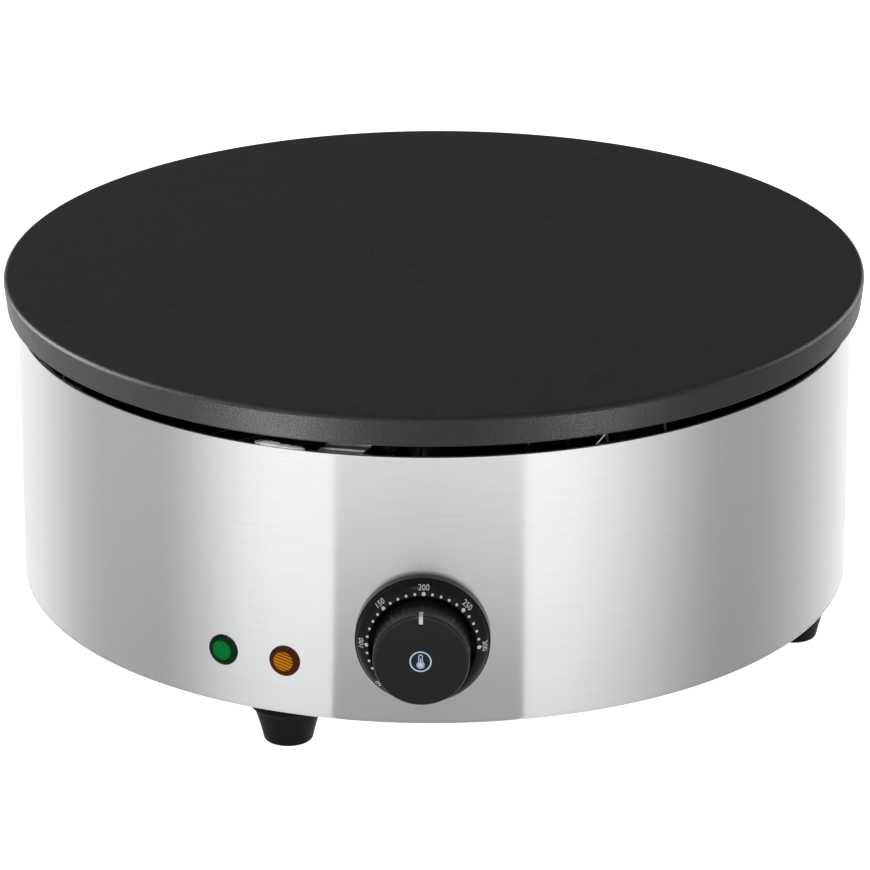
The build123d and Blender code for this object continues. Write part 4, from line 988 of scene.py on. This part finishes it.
class CREPE_OT_fasteners(bpy.types.Operator):
    """Model the screw heads under the base and plate all fasteners"""

    bl_idname = "crepe.fasteners"
    bl_label = "Fasteners"

    base_screw_count = 8
    base_screw_reach = 183.0 * MM
    # The base is turned from the front, and its first screw stands half a step further. Its
    # place is given as an angle from +X.
    base_turn, half_step = 27.6, 22.5
    first_base_screw = math.radians(base_turn + half_step - 90)
    head_top = 20 * MM
    head_radius, head_crown, recess_arm = 3.5 * MM, 1.1 * MM, 2.0 * MM
    shank_radius = 1.7 * MM

    def execute(self, context):
        """Put cross-recess heads where the base screws are, and dress the rest."""
        zinc = plated_metal("Zinc_plate", "#B4B5B3", 0.32, 0.5 * MM)
        head_height = self.head_top - SCREW_LOW.z
        head = cross_head(self.head_radius, head_height, self.head_crown, self.recess_arm)
        head.transform(Matrix.Rotation(math.pi, 4, "X"))
        ends = [Vector((0, 0, 0)), Vector((0, 0, SCREW_HIGH.z - self.head_top))]
        shank = tubes("shank", [ends], self.shank_radius, 16)
        count, reach = self.base_screw_count, self.base_screw_reach
        step = 2 * math.pi / count
        rings = [
            ring_of(part, zinc, count, reach, self.first_base_screw, step)
            for part in (head, shank)
        ]
        screws = joined("base_screw_set", rings)
        screws.transform(Matrix.Translation((0, 0, self.head_top)))
        mesh_object("base_screw_set", screws, zinc, "housing", "zinc_steel", "base_screws")
        dress(
            zinc,
            *("foot_screws", "foot_washers", "foot_nuts"),
            *("plate_studs", "plate_washers", "plate_nuts"),
            *("clamp_studs", "clamp_nuts", "shield_nuts"),
            *("thermostat_screws", "clip_screws", "earth_strap_screw"),
        )
        brass = plated_metal("Bright_brass", "#9A7E4C", 0.32, 0.5 * MM)
        dress(brass, "block_screws", "earth_stud", "earth_nuts", "thermostat_terminals")
        return {"FINISHED"}


class CREPE_OT_heater(bpy.types.Operator):
    """Finish the heater, its insulation and the brackets under the plate"""

    bl_idname = "crepe.heater"
    bl_label = "Heater and brackets"

    # Bearings in degrees of each spring's lower and upper end.
    spring_bearings = ((-72.0, -67.2), (-62.1, -57.8), (20.7, 25.4))
    spring_reach = 191.0 * MM
    spring_heights = (138.0 * MM, 154.3 * MM)
    spring_wire = 0.32 * MM

    def execute(self, context):
        """Dress what lies between the plate and the drum."""
        dress(galvanised_sheet(), "element_clamp", "heat_shield", "bulb_clips")
        dress(plated_metal("Heated_sheet", "#424446", 0.5, 0.8 * MM), "plate_brackets")
        dress(heated_strap(), "earth_strap")
        dress(oxidised_sheath(), "heating_element")
        dress(plated_metal("Nickel_pin", "#A9A79F", 0.35, 0.4 * MM), "terminal_pins")
        dress(glazed_steatite(), "terminal_beads")
        dress(needled_wool(), "insulation_disc")
        self.springs()
        return {"FINISHED"}

    def springs(self):
        """Slanting wires in the gap between the drum and the plate."""
        paths = [
            [
                round_axis(self.spring_reach, math.radians(bearing), height)
                for bearing, height in zip(ends, self.spring_heights)
            ]
            for ends in self.spring_bearings
        ]
        wires = tubes("plate_springs", paths, self.spring_wire, 12)
        steel = plated_metal("Spring_wire", "#E4E6E8", 0.5, 0.5 * MM)
        mesh_object("plate_springs", wires, steel, "housing", "zinc_steel")


class CREPE_OT_controls(bpy.types.Operator):
    """Finish the thermostat, the cut-out, the terminal block and the gland"""

    bl_idname = "crepe.controls"
    bl_label = "Controls and gland"

    def execute(self, context):
        """Dress the electrical pieces."""
        resin = moulded_abs("Moulded_phenolic", linear("#26201D"), 0.45)
        dress(resin, "thermostat_body", "thermal_cutout", "terminal_block")
        dress(galvanised_sheet(), "thermostat_frame")
        copper = plated_metal("Heated_copper", "#5E3B2A", 0.42, 0.6 * MM)
        dress(copper, "capillary_tube", "sensor_bulb")
        nylon = moulded_abs("Moulded_nylon", linear("#1B1B1C"), 0.42)
        dress(nylon, "gland_body", "gland_cap_nut", "gland_lock_nut")
        dress(soft_covering("Soft_seal", "#101010", 0.7), "gland_seal")
        return {"FINISHED"}


class CREPE_OT_wiring(bpy.types.Operator):
    """Finish the leads and model the loose fibres of the glass sleeve"""

    bl_idname = "crepe.wiring"
    bl_label = "Wiring"

    fibre_count, clump_count = 480, 14
    fibre_radius = 0.09 * MM
    # Degrees: where the tuft starts and ends, how long its lofty end is, and how much the
    # fibres stray from their clump.
    tuft_start, tuft_end, lofty_end, stray = -21.0, -16.8, 1.5, 0.35
    # Millimetres by which a fibre may rise, at the lofty end and elsewhere.
    high_loft, low_loft = 1.5, 0.9

    def execute(self, context):
        """Frayed fibres reach from the top of the sleeve's loop over the drum's hem."""
        dress(braided_glass_sleeve(), "element_leads")
        silicone = soft_covering("Silicone_insulation", "#4C1A15", 0.55)
        dress(silicone, "supply_leads", "lamp_leads")
        chance = random.Random(context.scene.crepe_studio.fibre_seed)
        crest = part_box("element_leads")[1].z
        first, last = self.tuft_start, self.tuft_end
        clumps = [
            first + (last - first) * i / (self.clump_count - 1) for i in range(self.clump_count)
        ]
        paths = []
        for _ in range(self.fibre_count):
            bearing = chance.choice(clumps) + chance.gauss(0, self.stray)
            lofty = bearing < first + self.lofty_end
            loft = chance.uniform(0, self.high_loft if lofty else self.low_loft) * MM
            # Reach in millimetres, height, and how far to the side, for a fibre's three points.
            route = (
                (chance.uniform(184.4, 186.0), crest - chance.uniform(0.2, 1.2) * MM, 0.0),
                (chance.uniform(189.5, 191.5), DRUM_HIGH.z - 0.9 * MM + 1.3 * loft, 0.5),
                (chance.uniform(193.0, 194.0), DRUM_HIGH.z + 0.15 * MM + 0.5 * loft, 1.2),
            )
            paths.append(
                [
                    round_axis(
                        reach * MM, math.radians(bearing + chance.uniform(-sway, sway)), height
                    )
                    for reach, height, sway in route
                ]
            )
        fibres = tubes("sleeve_fibres", paths, self.fibre_radius, 4)
        mesh_object("sleeve_fibres", fibres, loose_glass(), "housing", "glass_sleeve")
        return {"FINISHED"}


class CREPE_OT_stage(bpy.types.Operator):
    """Set up the floor, the soft studio light and the camera"""

    bl_idname = "crepe.stage"
    bl_label = "Studio"

    # The camera stands a little to the right of the knob and looks down on the plate.
    camera_bearing = math.radians(1.6)
    camera_distance, camera_rise = 2.39197, 0.848
    camera_pitch, camera_yaw, camera_roll = 0.3722, 0.0001, -0.0034
    lens = 225.35
    floor_radius, card_radius = 40.0, 1.4
    card_height = 0.4 * MM
    mirror_steps = 6
    # Azimuths in degrees round the object from the front, where parts of the wall start.
    left_start, right_start = 24.7, 25.7
    box_edge = 0.8
    left_full, left_end = 41.0, 80.0
    right_full, right_end = 31.0, 91.0
    rear_left_start, rear_left_full = 98.0, 144.0
    rear_right_start, rear_right_full = 96.0, 162.0
    screen_start, screen_full = 95.0, 120.0
    # The same upwards, as the Z of a direction.
    screen_foot, screen_top = 0.02, 0.10
    overhead_start, overhead_full = 0.62, 0.86
    # Distances from the middle, in metres: where the table starts to glow, and where the
    # card's light is least and full, beside and between the softboxes.
    glow_start, glow_full = 0.10, 0.135
    aside_least, aside_full = 0.24, 0.49
    between_least, between_full = 0.31, 0.59

    def wall(self, tree, azimuth, studio):
        """Brightness of the studio by azimuth, and how far a place lies between the softboxes."""
        first, last, edge = -self.left_start, self.right_start, self.box_edge
        # The part between the softboxes is a little brighter towards them.
        aside = add_node(tree, "ShaderNodeMath", {0: azimuth}, operation="ABSOLUTE")
        between = {0: aside, 1: 0.0, 2: last, 3: studio.between, 4: 1.05 * studio.between}
        between = add_node(tree, "ShaderNodeMapRange", between)
        sides = {0: azimuth, 1: first, 2: last, 3: studio.side_left, 4: studio.side_right}
        total = add_node(tree, "ShaderNodeMapRange", sides)
        # Each part's level, then where its edges start and are full.
        for level, *edges in (
            (studio.backdrop, (-self.rear_left_start, -self.rear_left_full)),
            (studio.backdrop, (self.rear_right_start, self.rear_right_full)),
            (studio.softboxes, (first, first - edge), (-self.left_end, -self.left_full)),
            (studio.softboxes, (last, last + edge), (self.right_end, self.right_full)),
            (between, (first - edge, first), (last + edge, last)),
        ):
            part = 1.0
            for start, full in edges:
                ramp = {0: azimuth, 1: start, 2: full}
                ramp = add_node(tree, "ShaderNodeMapRange", ramp, interpolation_type="SMOOTHSTEP")
                part = add_node(tree, "ShaderNodeMath", {0: part, 1: ramp}, operation="MULTIPLY")
            total = add_node(tree, "ShaderNodeMix", {0: part, 2: total, 3: level}, data_type="FLOAT")
        return total, part

    def azimuth(self, tree, place):
        """Azimuth in degrees of a direction or a place, from -Y towards +X."""
        across, back = (add_node(tree, "ShaderNodeSeparateXYZ", {0: place}, axis) for axis in "XY")
        front = add_node(tree, "ShaderNodeMath", {0: back, 1: -1.0}, operation="MULTIPLY")
        turn = add_node(tree, "ShaderNodeMath", {0: across, 1: front}, operation="ARCTAN2")
        return add_node(tree, "ShaderNodeMath", {0: turn}, operation="DEGREES")

    def mirrored(self, tree, azimuth, reach):
        """Azimuth from which the drum's reflection shows a place on the table.

        For a place at azimuth a and distance d, the drum of radius R shows it at its own
        azimuth b where d sin(2b - a) = R sin b. 2b is found by repeated substitution."""
        ratio = add_node(tree, "ShaderNodeMath", {0: DRUM_RADIUS, 1: reach}, operation="DIVIDE")
        place = add_node(tree, "ShaderNodeMath", {0: azimuth}, operation="RADIANS")
        both = add_node(tree, "ShaderNodeMath", {0: place, 1: 1.5}, operation="MULTIPLY")
        substitution = (
            ("MULTIPLY", 0.5),
            ("SINE", 0.0),
            ("MULTIPLY", ratio),
            ("ARCSINE", 0.0),
            ("ADD", place),
        )
        for operation, second in substitution * self.mirror_steps:
            both = add_node(tree, "ShaderNodeMath", {0: both, 1: second}, operation=operation)
        return add_node(tree, "ShaderNodeMath", {0: both}, operation="DEGREES")

    def light(self, scene, studio):
        """A world of softboxes, dark sides, a pale backdrop and an overhead diffuser."""
        world = bpy.data.worlds.new("Studio")
        scene.world = world
        world.use_nodes = True
        tree = world.node_tree
        direction = add_node(tree, "ShaderNodeTexCoord", output="Generated")
        bearing = self.azimuth(tree, direction)
        level, _ = self.wall(tree, bearing, studio)
        # The dark screen stands behind, from a little above the table.
        height = add_node(tree, "ShaderNodeSeparateXYZ", {0: direction}, "Z")
        rise = {0: height, 1: self.screen_foot, 2: self.screen_top}
        rise = add_node(tree, "ShaderNodeMapRange", rise)
        aside = add_node(tree, "ShaderNodeMath", {0: bearing}, operation="ABSOLUTE")
        screen = {0: aside, 1: self.screen_start, 2: self.screen_full}
        rear = add_node(tree, "ShaderNodeMapRange", screen, interpolation_type="SMOOTHSTEP")
        screened = add_node(tree, "ShaderNodeMath", {0: rise, 1: rear}, operation="MULTIPLY")
        above = {0: height, 1: self.overhead_start, 2: self.overhead_full}
        above = add_node(tree, "ShaderNodeMapRange", above, interpolation_type="SMOOTHSTEP")
        for part, brightness in ((screened, studio.screen), (above, studio.overhead)):
            mix = {0: part, 2: level, 3: brightness}
            level = add_node(tree, "ShaderNodeMix", mix, data_type="FLOAT")
        sky = tree.nodes["Background"]
        sky.inputs["Color"].default_value = (1, 1, 1, 1)
        tree.links.new(level, sky.inputs["Strength"])

    def spread(self, name, radius, height, material):
        """Spread a large round sheet on the table."""
        bpy.ops.mesh.primitive_circle_add(
            vertices=96, radius=radius, fill_type="NGON", location=(0, 0, height)
        )
        piece = bpy.context.object
        piece.name = name
        piece.data.materials.append(material)
        return piece

    def floor(self, studio):
        """Plain pale floor. Polished pieces reflect the card in its place."""
        paper = Finish("Studio_floor", linear("#F6F6F5"), 0.0, 0.7, Emission_Color=(1, 1, 1, 1))
        paper.stain(paper.noise(0.6), linear("#F5F5F4"), linear("#F7F7F6"))
        # Under the object's middle the table gives no light, so the housing stays dark inside.
        reach = reach_of(paper.tree, paper.place)
        glow = {0: reach, 1: self.glow_start, 2: self.glow_full, 4: studio.table_glow}
        paper.drive("Emission Strength", paper.node("ShaderNodeMapRange", glow))
        floor = self.spread("studio_floor", self.floor_radius, 0, paper.material)
        floor.visible_glossy = False

    def card(self, studio):
        """Table card that only reflections see: it continues the walls down to the feet.

        A point on the card is seen from a point of the drum that stands at about half its
        azimuth, so the softboxes' edges stay upright in the reflection."""
        material = bpy.data.materials.new("Reflection_card")
        material.use_nodes = True
        tree = material.node_tree
        tree.nodes.remove(tree.nodes["Principled BSDF"])
        place = add_node(tree, "ShaderNodeTexCoord", output="Object")
        reach = reach_of(tree, place)
        seen = self.mirrored(tree, self.azimuth(tree, place), reach)
        wall, between = self.wall(tree, seen, studio)
        # Near the drum the card keeps only a share of its light: 0.72 of it at the sides, 0.95
        # behind and 0.40 between the softboxes.
        aside = add_node(tree, "ShaderNodeMath", {0: seen}, operation="ABSOLUTE")
        least = add_node(tree, "ShaderNodeMapRange", {0: aside, 1: 50.0, 2: 110.0, 3: 0.72, 4: 0.95})
        beside = {0: reach, 1: self.aside_least, 2: self.aside_full, 3: least, 4: 1.0}
        within = {0: reach, 1: self.between_least, 2: self.between_full, 3: 0.40, 4: 1.0}
        beside, within = (add_node(tree, "ShaderNodeMapRange", ramp) for ramp in (beside, within))
        fade = add_node(tree, "ShaderNodeMix", {0: between, 2: beside, 3: within}, data_type="FLOAT")
        level = add_node(tree, "ShaderNodeMath", {0: wall, 1: fade}, operation="MULTIPLY")
        glow = add_node(tree, "ShaderNodeEmission", {"Strength": level})
        tree.links.new(glow, tree.nodes["Material Output"].inputs["Surface"])
        material.cycles.emission_sampling = "NONE"
        card = self.spread("reflection_card", self.card_radius, self.card_height, material)
        card.visible_camera = False
        card.visible_diffuse = False
        card.visible_shadow = False
        card.visible_transmission = False

    def accent_lights(self, scene, studio):
        """Area lights that only dark pieces take: the griddle plate, and the dial and lamps."""
        left, right, rear = studio.plate_left, studio.plate_right, studio.plate_rear
        plate = (nodes["cooking_plate"], bpy.data.objects["plate_rim"])
        controls = [
            nodes[name]
            for name in ("dial_bezel", "control_knob", "green_lamp_lens", "amber_lamp_lens")
        ]
        for group, members, lights in (
            (
                "Lit_plate",
                plate,
                (
                    ("plate_front_left", -31, 0.45, 0.01, 0.12, 0.12, 2.4 * left),
                    ("plate_side_left", -75, 0.5, 0.01, 0.15, 0.15, 0.3 * left),
                    ("plate_front_right", 34, 0.45, 0.01, 0.12, 0.12, 1.2 * right),
                    ("plate_rear_left", -101, 1.6, 0.60, 1.5, 1.0, 82 * rear),
                    ("plate_rear_right", 123, 1.6, 0.60, 1.2, 1.0, 20 * rear),
                ),
            ),
            (
                "Lit_controls",
                controls,
                (("controls_top", -8, 0.6, 1.0, 0.15, 0.1, 2.5 * studio.controls),),
            ),
        ):
            taken = bpy.data.collections.new(group)
            for thing in members:
                taken.objects.link(thing)
            for name, bearing, reach, height, wide, tall, power in lights:
                data = bpy.data.lights.new(name, "AREA")
                data.shape = "RECTANGLE"
                data.size, data.size_y = wide, tall
                data.energy = power
                light = bpy.data.objects.new(name, data)
                scene.collection.objects.link(light)
                place = round_axis(reach, math.radians(bearing), height)
                turn = (Vector((0, 0, PLATE_TOP)) - place).to_track_quat("-Z", "Y")
                light.matrix_world = Matrix.Translation(place) @ turn.to_matrix().to_4x4()
                light.light_linking.receiver_collection = taken
                light.visible_camera = False

    def camera(self, scene):
        """Long lens, level horizon, looking down on the front of the object."""
        data = bpy.data.cameras.new("Camera")
        data.lens = self.lens
        data.sensor_width = 36.0
        camera = bpy.data.objects.new("Camera", data)
        scene.collection.objects.link(camera)
        pitch, yaw, roll = self.camera_pitch, self.camera_yaw, self.camera_roll
        ahead = Vector(
            (math.sin(yaw) * math.cos(pitch), math.cos(yaw) * math.cos(pitch), -math.sin(pitch))
        )
        right = Vector((math.cos(yaw), -math.sin(yaw), 0))
        above = right.cross(ahead)
        right, above = (
            math.cos(roll) * right + math.sin(roll) * above,
            -math.sin(roll) * right + math.cos(roll) * above,
        )
        basis = Matrix((right, above, -ahead)).transposed().to_4x4()
        turn = Matrix.Rotation(self.camera_bearing, 4, "Z")
        place = Vector((0, -self.camera_distance, PLATE_TOP + self.camera_rise))
        camera.matrix_world = turn @ Matrix.Translation(place) @ basis
        scene.camera = camera

    def execute(self, context):
        """Build the studio round the object."""
        studio = context.scene.crepe_studio
        self.light(context.scene, studio)
        self.floor(studio)
        self.card(studio)
        self.accent_lights(context.scene, studio)
        self.camera(context.scene)
        context.scene.view_settings.view_transform = "Standard"
        return {"FINISHED"}


class CREPE_PT_panel(bpy.types.Panel):
    """Lists the steps and the settings"""

    bl_idname = "CREPE_PT_panel"
    bl_label = "Crepe Maker"
    bl_space_type = "VIEW_3D"
    bl_region_type = "UI"
    bl_category = "Crepe Maker"

    def draw(self, context):
        """Draw a button for each operator, then the settings."""
        for operator in OPERATORS:
            self.layout.operator(operator.bl_idname)
        for settings in SETTINGS:
            group = getattr(context.scene, settings)
            box = self.layout.box()
            for name in group.__annotations__:
                box.prop(group, name)


SETTINGS = {
    "crepe_finish": FinishSettings,
    "crepe_dial": DialSettings,
    "crepe_studio": StudioSettings,
}
OPERATORS = (
    CREPE_OT_plate,
    CREPE_OT_housing,
    CREPE_OT_dial,
    CREPE_OT_knob,
    CREPE_OT_lamps,
    CREPE_OT_feet,
    CREPE_OT_fasteners,
    CREPE_OT_heater,
    CREPE_OT_controls,
    CREPE_OT_wiring,
    CREPE_OT_stage,
)


def register():
    """Register the classes and attach the settings to the scene."""
    for group in SETTINGS.values():
        bpy.utils.register_class(group)
    for name, group in SETTINGS.items():
        setattr(bpy.types.Scene, name, PointerProperty(type=group))
    for operator in OPERATORS:
        bpy.utils.register_class(operator)
    bpy.utils.register_class(CREPE_PT_panel)


def unregister():
    """Undo register, in the opposite order."""
    bpy.utils.unregister_class(CREPE_PT_panel)
    for operator in reversed(OPERATORS):
        bpy.utils.unregister_class(operator)
    for name in SETTINGS:
        delattr(bpy.types.Scene, name)
    for group in reversed(list(SETTINGS.values())):
        bpy.utils.unregister_class(group)


def main():
    """Run every step in order."""
    register()
    bpy.ops.crepe.plate()
    bpy.ops.crepe.housing()
    bpy.ops.crepe.dial()
    bpy.ops.crepe.knob()
    bpy.ops.crepe.lamps()
    bpy.ops.crepe.feet()
    bpy.ops.crepe.fasteners()
    bpy.ops.crepe.heater()
    bpy.ops.crepe.controls()
    bpy.ops.crepe.wiring()
    bpy.ops.crepe.stage()


if __name__ == "__main__":
    main()
